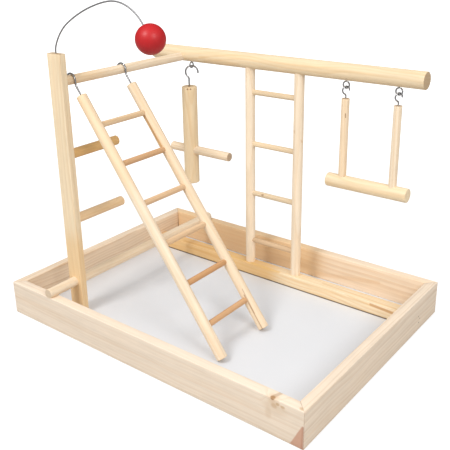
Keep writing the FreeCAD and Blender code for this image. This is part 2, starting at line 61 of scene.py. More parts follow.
X_AXIS = Vector((1, 0, 0))
Y_AXIS = Vector((0, 1, 0))
Z_AXIS = Vector((0, 0, 1))


# ---------------------------------------------------------------- places taken from the frame

def middle(node):
    low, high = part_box(node)
    return (low + high) / 2


def span(node):
    low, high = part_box(node)
    return high - low


def on_axis(node, axis):
    """A straight rod's two ends and its radius, from its box."""
    low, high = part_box(node)
    centre, size = (low + high) / 2, high - low
    across = (axis + 1) % 3
    ends = [centre.copy(), centre.copy()]
    ends[0][axis], ends[1][axis] = low[axis], high[axis]
    return ends[0], ends[1], size[across] / 2


LEAN = math.radians(53.8)             # the leaning ladder, from the floor
DOWN_SLOPE = Vector((math.cos(LEAN), 0, -math.sin(LEAN)))
RAIL_RADIUS = span("leaning_ladder_front_rail").y / 2
HOOK_TURN = math.radians(30.0)        # the open hooks, out of their swinging planes
HOOK_TIP = -12.0                      # degrees from level, where an open hook's tip ends
EYE_WIRE = 0.0012                     # radii of the wires
LADDER_HOOK_WIRE = 0.0015
SWING_HOOK_WIRE = 0.0012
BAR_HOOK_WIRE = 0.0015
ARM_WIRE = 0.0011
HOOK_GAP = 0.0003                     # between a hook and the perch it hangs on
WALL_THICKNESS = 0.015
PANEL_STEP_WIDTH = 0.007              # the step for the panel in each wall's lower edge
PANEL_STEP_HEIGHT = 0.005
NAIL_HEIGHTS = (0.014, 0.039)
PHOTO_SIZE = 450.0                    # pixels
PHOTO_SHIFT = -35.0                   # pixels that the view lies off the picture's middle


def leaning_rail_ends(node):
    """The two ends of a leaning rail's axis, from the box round the tilted rod."""
    low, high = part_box(node)
    y = (low.y + high.y) / 2
    top = Vector((low.x + RAIL_RADIUS * math.sin(LEAN), y, high.z - RAIL_RADIUS * math.cos(LEAN)))
    foot = Vector((high.x - RAIL_RADIUS * math.sin(LEAN), y, low.z + RAIL_RADIUS * math.cos(LEAN)))
    return top, foot


# ---------------------------------------------------------------- settings

class StandSizes(bpy.types.PropertyGroup):
    """Small shapes that a maker would change."""
    rod_sides: IntProperty(name="Rod sides", description="Faces round a dowel", default=40,
                           min=12)
    rod_arris: FloatProperty(name="Rod end rounding", default=0.0009, subtype="DISTANCE",
                             unit="LENGTH", description="How far a dowel's end is eased")
    rod_waver: FloatProperty(name="Rod waver", default=0.00022, subtype="DISTANCE",
                             unit="LENGTH", description="How far a dowel is out of true")
    board_arris: FloatProperty(name="Board edge rounding", default=0.0011, subtype="DISTANCE",
                               unit="LENGTH", description="How far a board's edges are eased")
    board_waver: FloatProperty(name="Board waver", default=0.00016, subtype="DISTANCE",
                               unit="LENGTH", description="How far a board's faces dip")
    wire_sides: IntProperty(name="Wire sides", description="Faces round a wire", default=14,
                            min=8)
    thread_pitch: FloatProperty(name="Thread pitch", default=0.0021, subtype="DISTANCE",
                                unit="LENGTH", description="Rise of one turn of a thread")
    thread_depth: FloatProperty(name="Thread depth", default=0.00052, subtype="DISTANCE",
                                unit="LENGTH", description="Depth of a thread's groove")
    seed: IntProperty(name="Seed", description="Which log the timber is cut from", default=7)


class StandColours(bpy.types.PropertyGroup):
    """The plain colours under the grain, as they look in daylight."""
    tray: FloatVectorProperty(name="Tray pine", subtype="COLOR", size=3,
                              description="Pale wood of the tray's boards",
                              default=(0.885, 0.745, 0.595))
    post: FloatVectorProperty(name="Post pine", subtype="COLOR", size=3,
                              description="Pale wood of the tall post",
                              default=(0.900, 0.730, 0.500))
    strip: FloatVectorProperty(name="Strip pine", subtype="COLOR", size=3,
                               description="Yellower wood of the base strip",
                               default=(0.920, 0.750, 0.520))
    beam: FloatVectorProperty(name="Beam pine", subtype="COLOR", size=3,
                              description="Wood of the beam and the thick rods",
                              default=(0.910, 0.735, 0.495))
    rail: FloatVectorProperty(name="Rail wood", subtype="COLOR", size=3,
                              description="Wood of the rails and perches",
                              default=(0.925, 0.775, 0.590))
    rung: FloatVectorProperty(name="Rung wood", subtype="COLOR", size=3,
                              description="Wood of the ladder rungs",
                              default=(0.900, 0.730, 0.500))
    panel: FloatVectorProperty(name="Floor panel", subtype="COLOR", size=3,
                               description="Paint on the tray's floor",
                               default=(0.760, 0.777, 0.808))
    wire: FloatVectorProperty(name="Wire", subtype="COLOR", size=3,
                              description="Plated steel of the hooks and the arm",
                              default=(0.430, 0.425, 0.430))
    lacquer: FloatVectorProperty(name="Lacquer", subtype="COLOR", size=3,
                                 description="Red of the ball",
                                 default=(0.550, 0.009, 0.012))


class StageSettings(bpy.types.PropertyGroup):
    """Light and camera."""
    sky_strength: FloatProperty(name="Sky", description="Even light from all round",
                                default=0.69)
    key_power: FloatProperty(name="Key lamp", description="Power of the front lamp in watts",
                             default=24.0)
    side_power: FloatProperty(name="Side lamp", description="Power of the right-hand lamp in watts",
                              default=18.0)
    lens: FloatProperty(name="Lens", description="Focal length in millimetres", default=55.81)
    camera_place: FloatVectorProperty(name="Camera place", size=3, subtype="TRANSLATION",
                                      unit="LENGTH", description="Where the camera stands",
                                      default=(0.5963, -0.7540, 0.5567))
    camera_azimuth: FloatProperty(name="Camera azimuth", default=math.radians(38.056),
                                  subtype="ANGLE", unit="ROTATION",
                                  description="Turn of the camera from facing the long side")
    camera_elevation: FloatProperty(name="Camera elevation", default=math.radians(20.165),
                                    subtype="ANGLE", unit="ROTATION",
                                    description="How far the camera looks down")
    camera_roll: FloatProperty(name="Camera roll", default=math.radians(-0.898),
                               subtype="ANGLE", unit="ROTATION",
                               description="Tilt of the picture")


def sizes():
    return bpy.context.scene.stand_sizes


def colours():
    return bpy.context.scene.stand_colours


# ---------------------------------------------------------------- node layouts in plain sums

class Flow:
    """A node's socket that can stand in a sum, so a finish reads as arithmetic."""

    def __init__(self, layout, socket):
        self.layout = layout
        self.socket = socket

    def _is_vector(self):
        return self.socket.type in {"VECTOR", "RGBA"}

    def _with(self, operation, first, second):
        vectors = any(isinstance(item, (tuple, list, Vector))
                      or (isinstance(item, Flow) and item._is_vector())
                      for item in (first, second))
        if vectors:
            if operation == "MULTIPLY" and not isinstance(second, (tuple, list, Vector)) \
                    and not (isinstance(second, Flow) and second._is_vector()):
                return self.layout.node("ShaderNodeVectorMath", {"operation": "SCALE"},
                                        {"Vector": first, "Scale": second})
            return self.layout.node("ShaderNodeVectorMath", {"operation": operation},
                                    {0: first, 1: second})
        return self.layout.node("ShaderNodeMath", {"operation": operation},
                                {0: first, 1: second})

    def __add__(self, other):
        return self._with("ADD", self, other)

    def __radd__(self, other):
        return self._with("ADD", other, self)

    def __sub__(self, other):
        return self._with("SUBTRACT", self, other)

    def __rsub__(self, other):
        return self._with("SUBTRACT", other, self)

    def __mul__(self, other):
        return self._with("MULTIPLY", self, other)

    def __rmul__(self, other):
        return self._with("MULTIPLY", self, other)

    def __truediv__(self, other):
        return self._with("DIVIDE", self, other)

    def __rtruediv__(self, other):
        return self._with("DIVIDE", other, self)

    def _alone(self, operation, other=None):
        return self.layout.node("ShaderNodeMath", {"operation": operation},
                                {0: self, 1: other})

    def root(self):
        return self._alone("SQRT")

    def size(self):
        return self._alone("ABSOLUTE")

    def whole(self):
        return self._alone("FLOOR")

    def rest(self):
        return self._alone("FRACT")

    def sine(self):
        return self._alone("SINE")

    def cosine(self):
        return self._alone("COSINE")

    def least(self, other):
        return self._alone("MINIMUM", other)

    def most(self, other):
        return self._alone("MAXIMUM", other)

    def above(self, other):
        return self._alone("GREATER_THAN", other)

    def parts(self):
        node = self.layout.node("ShaderNodeSeparateXYZ", {}, {0: self}).socket.node
        return [Flow(self.layout, socket) for socket in node.outputs]

    def length(self):
        node = self.layout.node("ShaderNodeVectorMath", {"operation": "LENGTH"}, {0: self})
        return Flow(self.layout, node.socket.node.outputs["Value"])

    def dot(self, other):
        node = self.layout.node("ShaderNodeVectorMath", {"operation": "DOT_PRODUCT"},
                                {0: self, 1: other})
        return Flow(self.layout, node.socket.node.outputs["Value"])

    def ramp(self, low, high, start=0.0, end=1.0):
        """Rises smoothly from start at low to end at high, and stays there."""
        return self.layout.node("ShaderNodeMapRange",
                                {"interpolation_type": "SMOOTHSTEP", "clamp": True},
                                {"Value": self, "From Min": low, "From Max": high,
                                 "To Min": start, "To Max": end})


class Layout:
    """A shader or geometry tree while its nodes are laid out."""

    def __init__(self, tree):
        self.tree = tree

    def node(self, kind, settings=None, sockets=None, out=0):
        """Adds a node: its settings first, then the values or links of its sockets."""
        node = self.tree.nodes.new(kind)
        for name, value in (settings or {}).items():
            if name == "stops":
                while len(node.color_ramp.elements) < len(value):
                    node.color_ramp.elements.new(1.0)
                for element, (place, colour) in zip(node.color_ramp.elements, value):
                    element.position = place
                    element.color = (*colour, 1.0)
            else:
                setattr(node, name, value)
        for name, value in (sockets or {}).items():
            socket = self._socket(node, name)
            if isinstance(value, Flow):
                self.tree.links.new(value.socket, socket)
            elif value is not None:
                if socket.type == "RGBA" and len(value) == 3:
                    value = (*value, 1.0)
                elif socket.type == "VECTOR" and isinstance(value, (int, float)):
                    value = (value,) * 3
                socket.default_value = value
        outputs = [socket for socket in node.outputs if socket.enabled]
        if isinstance(out, str):
            return Flow(self, next(s for s in outputs if s.name == out))
        return Flow(self, outputs[out]) if outputs else None

    @staticmethod
    def _socket(node, name):
        if isinstance(name, int):
            return node.inputs[name]
        return next(s for s in node.inputs if s.name == name and s.enabled)

    def place(self, x, y, z):
        return self.node("ShaderNodeCombineXYZ", {}, {"X": x, "Y": y, "Z": z})

    def blend(self, factor, first, second):
        """A colour between two, by the factor."""
        return self.node("ShaderNodeMix", {"data_type": "RGBA", "clamp_factor": True},
                         {"Factor": factor, "A": first, "B": second})

    def cloud(self, where, scale, detail=2.0, roughness=0.5, out="Fac"):
        """Noise; scale is one number or one for each direction, in waves a metre."""
        stretched = where * (scale if isinstance(scale, tuple) else (scale,) * 3)
        return self.node("ShaderNodeTexNoise", {"noise_dimensions": "3D"},
                         {"Vector": stretched, "Scale": 1.0, "Detail": detail,
                          "Roughness": roughness}, out)


class Finish(Layout):
    """One material while it is laid out."""

    def __init__(self, name):
        self.material = bpy.data.materials.new(name)
        self.material.use_nodes = True
        super().__init__(self.material.node_tree)
        self.shader = next(n for n in self.tree.nodes if n.type == "BSDF_PRINCIPLED")

    def attribute(self, name, out="Fac"):
        return self.node("ShaderNodeAttribute", {"attribute_name": name}, {}, out)

    def where(self):
        """The place on the piece, in metres."""
        return self.node("ShaderNodeTexCoord", {}, {}, "Object")

    def set(self, **values):
        for name, value in values.items():
            socket = self.shader.inputs[name.replace("_", " ")]
            if isinstance(value, Flow):
                self.tree.links.new(value.socket, socket)
            elif socket.type == "RGBA" and len(value) == 3:
                socket.default_value = (*value, 1.0)
            else:
                socket.default_value = value

    def relief(self, height, depth, strength=1.0):
        """Bumps of this depth in metres under a height of nought to one."""
        self.set(Normal=self.node("ShaderNodeBump", {},
                                  {"Strength": strength, "Distance": depth, "Height": height}))


# ---------------------------------------------------------------- finishes

def near(where, spot, reach):
    """One at a spot, nought at reach from it; reach may differ in each direction."""
    if not isinstance(reach, tuple):
        reach = (reach,) * 3
    scale = tuple(1 / r for r in reach)
    return ((where - spot) * scale).length().ramp(0.0, 1.0, 1.0, 0.0)


def along(where, first, last, reach):
    """One on the line between two spots, nought at reach from it."""
    run = Vector(last) - Vector(first)
    from_first = where - tuple(first)
    share = from_first.dot(tuple(run / run.length_squared)).most(0.0).least(1.0)
    return (from_first - tuple(run) * share).length().ramp(0.0, reach, 1.0, 0.0)


def patch(where, corners, soft):
    """One inside a flat outline seen from the front, nought outside; corners run left-handed."""
    inside = None
    for number, (x, z) in enumerate(corners):
        next_x, next_z = corners[(number + 1) % len(corners)]
        length = math.hypot(next_x - x, next_z - z)
        inward = ((z - next_z) / length, 0.0, (next_x - x) / length)
        depth = (where - (x, 0.0, z)).dot(inward)
        inside = depth if inside is None else inside.least(depth)
    return inside.ramp(0.0, soft)


def timber(name, pale, late, ring_gap=0.0034, figure=0.55, honey=(0.80, 0.49, 0.19),
           knots=(), marks=(), resin=0.5, sway=0.030):
    """Planed pine or birch: growth rings, fibres, flecks, knots, end grain and eased edges.

    knots are (place, radius, strength). Marks are (mask, its places, paint, strength), where
    mask is near, along or patch. All places are in the frame's metres.
    """
    finish = Finish(name)
    brown = (0.42, 0.20, 0.07)
    grain = finish.attribute("grain_place", "Vector")
    tone, warmth, fresh = finish.attribute("timber_tone", "Vector").parts()
    end = finish.attribute("end_grain") * (1 - fresh)
    arris = finish.attribute("arris")
    where = finish.where()

    wander = finish.cloud(grain, (6.0, 6.0, 3.2), 2.0, 0.45, "Color") - (0.5, 0.5, 0.5)
    bent = grain + wander * (sway, sway, 0.0)
    x, y, z = bent.parts()
    rings = (x * x + y * y).root() / ring_gap
    rings = rings + finish.cloud(grain, (55.0, 55.0, 7.0), 2.0) * 0.9
    for spot, radius, strength in knots:
        rings = rings + near(where, spot, radius * 5.5) * (2.8 * strength)
    in_ring = rings.rest()
    late_wood = in_ring.ramp(0.15, 0.88) * in_ring.ramp(0.90, 1.0, 1.0, 0.0)
    year = finish.cloud(finish.place(rings.whole() * 0.73, 0.0, z * 1.4), 1.0, 1.0)
    late_wood = late_wood * year.ramp(0.30, 0.72, 0.12, 1.0)

    fibres = finish.cloud(grain, (1300.0, 1300.0, 24.0), 3.0, 0.6)
    streaks = finish.cloud(grain, (260.0, 260.0, 4.0), 2.0, 0.55)
    bands = finish.cloud(grain, (95.0, 95.0, 3.2), 2.0, 0.5)
    blotches = finish.cloud(grain, (26.0, 26.0, 9.0), 2.0, 0.5)
    flecks = finish.cloud(grain, (900.0, 900.0, 55.0), 1.0, 0.5).ramp(0.70, 0.80)
    flecks = flecks * streaks.ramp(0.45, 0.65) * resin
    mottle = finish.cloud(grain, (150.0, 150.0, 34.0), 2.0, 0.6)

    colour = finish.blend(late_wood * figure, pale, late)
    colour = finish.blend(bands.ramp(0.50, 0.78) * (figure * 0.75), colour, late)
    colour = finish.blend(blotches.ramp(0.52, 0.85) * (figure * 0.45), colour, late)
    colour = finish.blend(warmth, colour, honey)
    colour = finish.blend(flecks * 0.5, colour, brown)
    light = (0.985 + (fibres - 0.5) * 0.15 + (streaks - 0.5) * 0.20
             + (blotches - 0.5) * 0.16 + (mottle - 0.5) * 0.13 + tone * 0.20)
    light = light * end.ramp(0.0, 1.0, 1.0, 0.70)
    light = light * arris.ramp(0.0, 1.0, 1.0, 1.02)
    colour = colour * light
    colour = finish.blend(end * 0.30, colour, brown)

    height = fibres * 0.5 + late_wood * 0.35 + streaks * 0.25 - flecks * 0.4
    for spot, radius, strength in knots:
        ring = near(where, spot, radius * 2.8)
        core = near(where, spot, radius * 1.25) + (streaks - 0.5) * 0.5
        swirl = (((where - spot).length() / (radius * 0.30)).rest()).ramp(0.2, 0.9)
        knot_colour = finish.blend(swirl * 0.5, (0.44, 0.23, 0.09), (0.24, 0.11, 0.04))
        colour = finish.blend(ring * (0.60 * strength), colour, (0.60, 0.35, 0.15))
        colour = finish.blend(core.ramp(0.15, 0.60) * strength, colour, knot_colour)
        height = height - core * 0.6
    for mask, places, paint, strength in marks:
        edge = mask(where, *places) + (fibres - 0.5) * 0.35 + (streaks - 0.5) * 0.25
        colour = finish.blend(edge.ramp(0.10, 0.80) * strength, colour, paint)

    finish.set(Base_Color=colour,
               Roughness=(0.60 - late_wood * 0.10 + (fibres - 0.5) * 0.18
                          + end * 0.15 - arris * 0.05),
               Specular_IOR_Level=0.34)
    finish.relief(height, 0.00022, 0.55)
    return finish.material


def painted_panel():
    """Hardboard, white paint above and bare brown board below."""
    finish = Finish("floor_panel_board")
    where = finish.where()
    normal = finish.node("ShaderNodeTexCoord", {}, {}, "Normal")
    upward = normal.dot((0.0, 0.0, 1.0)).ramp(0.2, 0.6)
    mist = finish.cloud(where, 9.0, 3.0)
    peel = finish.cloud(where, 420.0, 2.0)
    specks = finish.cloud(where, 800.0, 1.0).ramp(0.74, 0.80)
    fibre = finish.cloud(where, (60.0, 900.0, 900.0), 3.0)
    paint = Vector(colours().panel)
    white = finish.blend(mist.ramp(0.3, 0.7) * 0.5, paint, paint * 0.965)
    white = finish.blend(specks * 0.25, white, (0.62, 0.60, 0.57))
    scuffs = finish.cloud(where, (14.0, 160.0, 10.0), 2.0).ramp(0.66, 0.74)
    white = finish.blend(scuffs * 0.10, white, (0.70, 0.69, 0.68))
    # Painted contact shadow: a thin dark line on the panel along the foot of the base strip's front
    # face.
    low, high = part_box("base_strip")
    gap = along(where, (low.x, low.y, low.z), (high.x, low.y, low.z), 0.0019)
    white = finish.blend(gap.ramp(0.0, 0.7) * 0.8, white, (0.10, 0.065, 0.04))
    bare = finish.blend(fibre, (0.30, 0.175, 0.09), (0.42, 0.27, 0.15))
    finish.set(Base_Color=finish.blend(upward, bare, white),
               Roughness=upward.ramp(0.0, 1.0, 0.82, 0.46) + (mist - 0.5) * 0.12,
               Specular_IOR_Level=0.4)
    finish.relief(peel * 0.6 + fibre * (1 - upward) * 0.8, 0.00012, 0.35)
    return finish.material


def plated_steel(name, colour, tarnish, dullness):
    """Drawn wire with a thin plating: fine lines, dull patches and grime on the threaded length."""
    finish = Finish(name)
    where = finish.where()
    cloudy = finish.cloud(where, 160.0, 3.0)
    fine = finish.cloud(where, 1900.0, 2.0)
    grime = finish.attribute("thread") * 0.55
    shade = finish.blend(cloudy.ramp(0.35, 0.75) * tarnish, Vector(colour), Vector(colour) * 0.55)
    shade = finish.blend(grime, shade, Vector(colour) * 0.45)
    finish.set(Base_Color=shade, Metallic=1.0,
               Roughness=dullness + cloudy * 0.12 + (fine - 0.5) * 0.10)
    finish.relief(fine * 0.7 + cloudy * 0.3, 0.00004, 0.4)
    return finish.material


def red_lacquer():
    """Thick glossy red over turned wood, darker towards the bottom."""
    finish = Finish("ball_red_lacquer")
    centre = middle("red_ball")
    where = finish.where() - tuple(centre)
    _, _, z = where.parts()
    # Darker towards the bottom of the ball.
    darker_below = z.ramp(-0.019, 0.012, 1.0, 0.0)
    mist = finish.cloud(where, 70.0, 3.0)
    turned = finish.cloud(where, (24.0, 24.0, 900.0), 2.0)
    dust = finish.cloud(where, 1300.0, 1.0).ramp(0.76, 0.82)
    red = Vector(colours().lacquer)
    colour = finish.blend(darker_below * 0.45 + mist * 0.20, red, red * 0.62)
    colour = finish.blend(dust * 0.2, colour, (0.60, 0.12, 0.10))
    finish.set(Base_Color=colour, Roughness=0.42 + mist * 0.10, Coat_Weight=0.20,
               Coat_Roughness=0.32, Specular_IOR_Level=0.34)
    finish.relief(turned * 0.5 + mist * 0.4 + dust * 0.3, 0.00010, 0.35)
    return finish.material


MATERIALS = {}


def make_materials():
    """The finishes, with the knots, streaks and marks where the wood shows them."""
    c = colours()
    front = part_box("tray_front_wall")[0].y
    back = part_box("tray_back_wall")[0].y
    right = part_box("tray_right_wall")[1].x
    strip_low, strip_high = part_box("base_strip")
    rail_top, rail_foot = leaning_rail_ends("leaning_ladder_front_rail")
    cut = (0.30, 0.15, 0.06)
    tan = (0.58, 0.36, 0.17)
    orange = (0.72, 0.40, 0.13)
    dark = (0.12, 0.06, 0.03)
    gold = (0.80, 0.48, 0.17)
    MATERIALS.update({
        "tray_front": timber(
            "tray_front_pine", c.tray, (0.72, 0.49, 0.29), ring_gap=0.0050, figure=0.30,
            knots=[((0.2215, front + 0.0015, 0.0525), 0.0040, 0.85)],
            marks=[(patch, ([(0.2435, -0.001), (0.2655, -0.001), (0.2655, 0.034),
                             (0.2615, 0.0345)], 0.0035), (0.60, 0.32, 0.21), 0.85),
                   (along, ((0.2640, front, 0.000), (0.2655, front, 0.030), 0.0055),
                    (0.42, 0.19, 0.12), 0.50),
                   (along, ((0.2205, front + 0.002, 0.053), (0.2245, front + 0.013, 0.053),
                            0.0045), (0.40, 0.23, 0.11), 0.45),
                   (near, ((0.2290, front, 0.0475), (0.0045, 0.0045, 0.0040)), tan, 0.70),
                   (near, ((0.2240, front, 0.0435), (0.0075, 0.0075, 0.0060)), tan, 0.50),
                   (near, ((0.2360, front, 0.0465), (0.0055, 0.0055, 0.0035)), tan, 0.60),
                   (near, ((0.2250, front, 0.0400), (0.0300, 0.0300, 0.0150)), tan, 0.20),
                   (near, ((0.2160, front, 0.0300), (0.0080, 0.0080, 0.0140)), tan, 0.22),
                   (near, ((0.2600, front + 0.004, 0.053), (0.0065, 0.0050, 0.0050)),
                    tan, 0.60)]),
        "tray_back": timber("tray_back_pine", Vector(c.tray) * 1.04, (0.68, 0.41, 0.17),
                            ring_gap=0.0080, figure=0.32, marks=[
                                # Painted shade: a broad honey-gold patch over the left half of the
                                # back board, standing in for the shade there.
                                (along, ((-0.265, back, 0.030), (0.010, back, 0.030), 0.110),
                                 gold, 0.50),
                                (along, ((0.060, back, 0.012), (0.175, back, 0.030), 0.006),
                                 orange, 0.22)]),
        "tray_left": timber("tray_left_pine", c.tray, (0.54, 0.32, 0.15),
                            ring_gap=0.0034, figure=0.46),
        "tray_side": timber("tray_side_pine", c.tray, (0.68, 0.46, 0.27),
                            ring_gap=0.0042, figure=0.40, marks=[
            (near, ((right, -front * 0.655, 0.0240), 0.0018), dark, 0.90),
            (near, ((right, -front * 0.680, 0.0190), 0.0019), dark, 0.75),
            (near, ((right, -front * 0.666, 0.0132), 0.0019), dark, 0.90)]),
        "post": timber(
            "post_pine", c.post, (0.72, 0.47, 0.23), ring_gap=0.0052, figure=0.36,
            marks=[(along, ((-0.179, -0.141, 0.000), (-0.179, -0.141, 0.090), 0.085),
                    gold, 0.42)]),
        "strip": timber(
            "strip_pine", c.strip, (0.76, 0.43, 0.12), ring_gap=0.0034, figure=0.55,
            marks=[(along, ((-0.260, strip_low.y, 0.015), (-0.030, strip_low.y, 0.015), 0.080),
                    gold, 0.72),
                   # Painted contact shadow: a thin dark line along the strip's lower front edge,
                   # where it sits on the panel.
                   (along, ((strip_low.x, strip_low.y, 0.005), (strip_high.x, strip_low.y, 0.005),
                            0.0024), dark, 0.85),
                   (along, ((-0.190, 0.127, 0.025), (-0.110, 0.131, 0.025), 0.0050),
                    orange, 0.55),
                   (along, ((-0.180, 0.122, 0.019), (-0.100, 0.122, 0.016), 0.0045),
                    orange, 0.45),
                   (along, ((-0.100, 0.127, 0.025), (0.020, 0.124, 0.025), 0.0048),
                    (0.80, 0.50, 0.16), 0.55),
                   (along, ((0.100, 0.132, 0.025), (0.235, 0.126, 0.025), 0.0032),
                    orange, 0.35),
                   (along, ((0.190, 0.122, 0.021), (0.242, 0.122, 0.017), 0.0042),
                    (0.52, 0.24, 0.08), 0.60)]),
        "beam": timber(
            "beam_pine", c.beam, (0.76, 0.49, 0.22), ring_gap=0.0060, figure=0.46,
            sway=0.075,
            marks=[(along, ((-0.1835, 0.1232, 0.3625), (-0.1875, 0.1290, 0.3530), 0.0017),
                    cut, 0.85),
                   (along, ((-0.136, 0.1205, 0.3685), (-0.060, 0.1225, 0.3630), 0.0060),
                    orange, 0.18),
                   (along, ((-0.128, 0.1235, 0.3620), (-0.075, 0.1260, 0.3590), 0.0045),
                    (0.62, 0.32, 0.10), 0.18),
                   # Two dark strokes from the foot of the hook's stem down over the bar's top.
                   (along, ((-0.1693, 0.1305, 0.3160), (-0.1636, 0.1190, 0.3130), 0.0028),
                    cut, 0.90),
                   (along, ((-0.1693, 0.1305, 0.3160), (-0.1595, 0.1222, 0.3130), 0.0028),
                    cut, 0.90)]),
        "rail": timber(
            "rail_birch", c.rail, (0.74, 0.49, 0.25), ring_gap=0.0046, figure=0.38,
            marks=[(along, (rail_top, rail_top.lerp(rail_foot, 0.22), 0.110), gold, 0.30),
                   (along, ((0.0554, -0.0216, 0.0574), (0.0915, -0.0216, 0.0080), 0.0015),
                    cut, 0.62),
                   (along, ((0.0510, -0.0202, 0.0655), (0.0740, -0.0212, 0.0330), 0.0013),
                    cut, 0.48),
                   (along, ((-0.1291, -0.0225, 0.3019), (-0.0963, -0.0225, 0.2593), 0.0042),
                    (0.62, 0.34, 0.12), 0.80),
                   (along, ((-0.1300, -0.0215, 0.3075), (-0.1040, -0.0225, 0.2680), 0.0014),
                    cut, 0.60),
                   (along, ((0.0436, 0.1258, 0.2716), (0.0548, 0.1315, 0.2547), 0.0032),
                    (0.66, 0.40, 0.18), 0.45),
                   (along, ((0.1289, 0.1281, 0.3100), (0.1292, 0.1282, 0.3045), 0.0013),
                    cut, 0.80),
                   (near, ((0.1306, 0.1299, 0.2140), 0.0019), cut, 0.85)]),
        "rung": timber(
            "rung_birch", c.rung, (0.66, 0.40, 0.18), ring_gap=0.0030, figure=0.42,
            honey=(0.56, 0.260, 0.090),
            marks=[(near, ((-0.0170, 0.1290, 0.1525), (0.0045, 0.0040, 0.0040)), cut, 0.60)]),
        "panel": painted_panel(),
        "wire": plated_steel("hook_wire_steel", c.wire, tarnish=0.4, dullness=0.14),
        "arm": plated_steel("arm_wire_steel", Vector(c.wire) * 0.80, tarnish=0.2,
                            dullness=0.48),
        "nail": plated_steel("nail_steel", Vector(c.wire) * 1.5, tarnish=0.6, dullness=0.30),
        "screw": plated_steel("screw_steel", Vector(c.wire) * 1.1, tarnish=0.5, dullness=0.20),
        "lacquer": red_lacquer(),
    })


# ---------------------------------------------------------------- meshes

def mesh_object(name, vertices, faces=(), edges=()):
    mesh = bpy.data.meshes.new(name)
    mesh.from_pydata([tuple(v) for v in vertices], list(edges), list(faces))
    mesh.update()
    piece = bpy.data.objects.new(name, mesh)
    bpy.context.scene.collection.objects.link(piece)
    return piece


def note_points(piece, name, kind, values):
    """Stores a value for each point of a piece, for its finish to read."""
    data = piece.data.attributes.new(name, kind, "POINT").data
    key = "vector" if kind == "FLOAT_VECTOR" else "value"
    for item, value in zip(data, values):
        setattr(item, key, value)


def settle(piece, body, slot, *nodes):
    """Gives a finished piece to its body, in place of the plain nodes."""
    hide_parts(*nodes)
    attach(piece, body)


def plain_mesh(piece):
    """Turns what a piece's geometry nodes make into a mesh of its own."""
    bpy.context.view_layer.update()
    evaluated = piece.evaluated_get(bpy.context.evaluated_depsgraph_get())
    mesh = bpy.data.meshes.new_from_object(evaluated)
    mesh.name = piece.name
    piece.modifiers.clear()
    old = piece.data
    piece.data = mesh
    bpy.data.meshes.remove(old)


def grow(piece, tree, **inputs):
    """Puts a geometry tree on a piece with these inputs and makes it a plain mesh."""
    modifier = piece.modifiers.new(tree.name, "NODES")
    modifier.node_group = tree
    for item in tree.interface.items_tree:
        key = item.name.lower().replace(" ", "_")
        if item.item_type == "SOCKET" and item.in_out == "INPUT" and key in inputs:
            modifier[item.identifier] = inputs[key]
    plain_mesh(piece)


def new_tree(name, inputs):
    """A geometry tree and a flow from each of its inputs."""
    tree = bpy.data.node_groups.new(name, "GeometryNodeTree")
    tree.interface.new_socket("Geometry", in_out="INPUT", socket_type="NodeSocketGeometry")
    tree.interface.new_socket("Geometry", in_out="OUTPUT", socket_type="NodeSocketGeometry")
    for label, kind, value in inputs:
        socket = tree.interface.new_socket(label, in_out="INPUT", socket_type=kind)
        if value is not None:
            socket.default_value = value
    layout = Layout(tree)
    start = tree.nodes.new("NodeGroupInput")
    flows = {s.name: Flow(layout, s) for s in start.outputs if s.name}
    return tree, layout, flows


def close_tree(layout, geometry, material):
    real = layout.node("GeometryNodeRealizeInstances", {}, {"Geometry": geometry})
    painted = layout.node("GeometryNodeSetMaterial", {}, {"Geometry": real,
                                                          "Material": material})
    end = layout.tree.nodes.new("NodeGroupOutput")
    layout.tree.links.new(painted.socket, end.inputs[0])


def store(layout, geometry, name, kind, value):
    return layout.node("GeometryNodeStoreNamedAttribute",
                       {"data_type": kind, "domain": "POINT"},
                       {"Geometry": geometry, "Name": name, "Value": value})


def named(layout, name, kind):
    return layout.node("GeometryNodeInputNamedAttribute", {"data_type": kind}, {"Name": name},
                       "Attribute")


def drop_notes(layout, geometry, names):
    for name in names:
        geometry = layout.node("GeometryNodeRemoveAttribute", {},
                               {"Geometry": geometry, "Name": name})
    return geometry


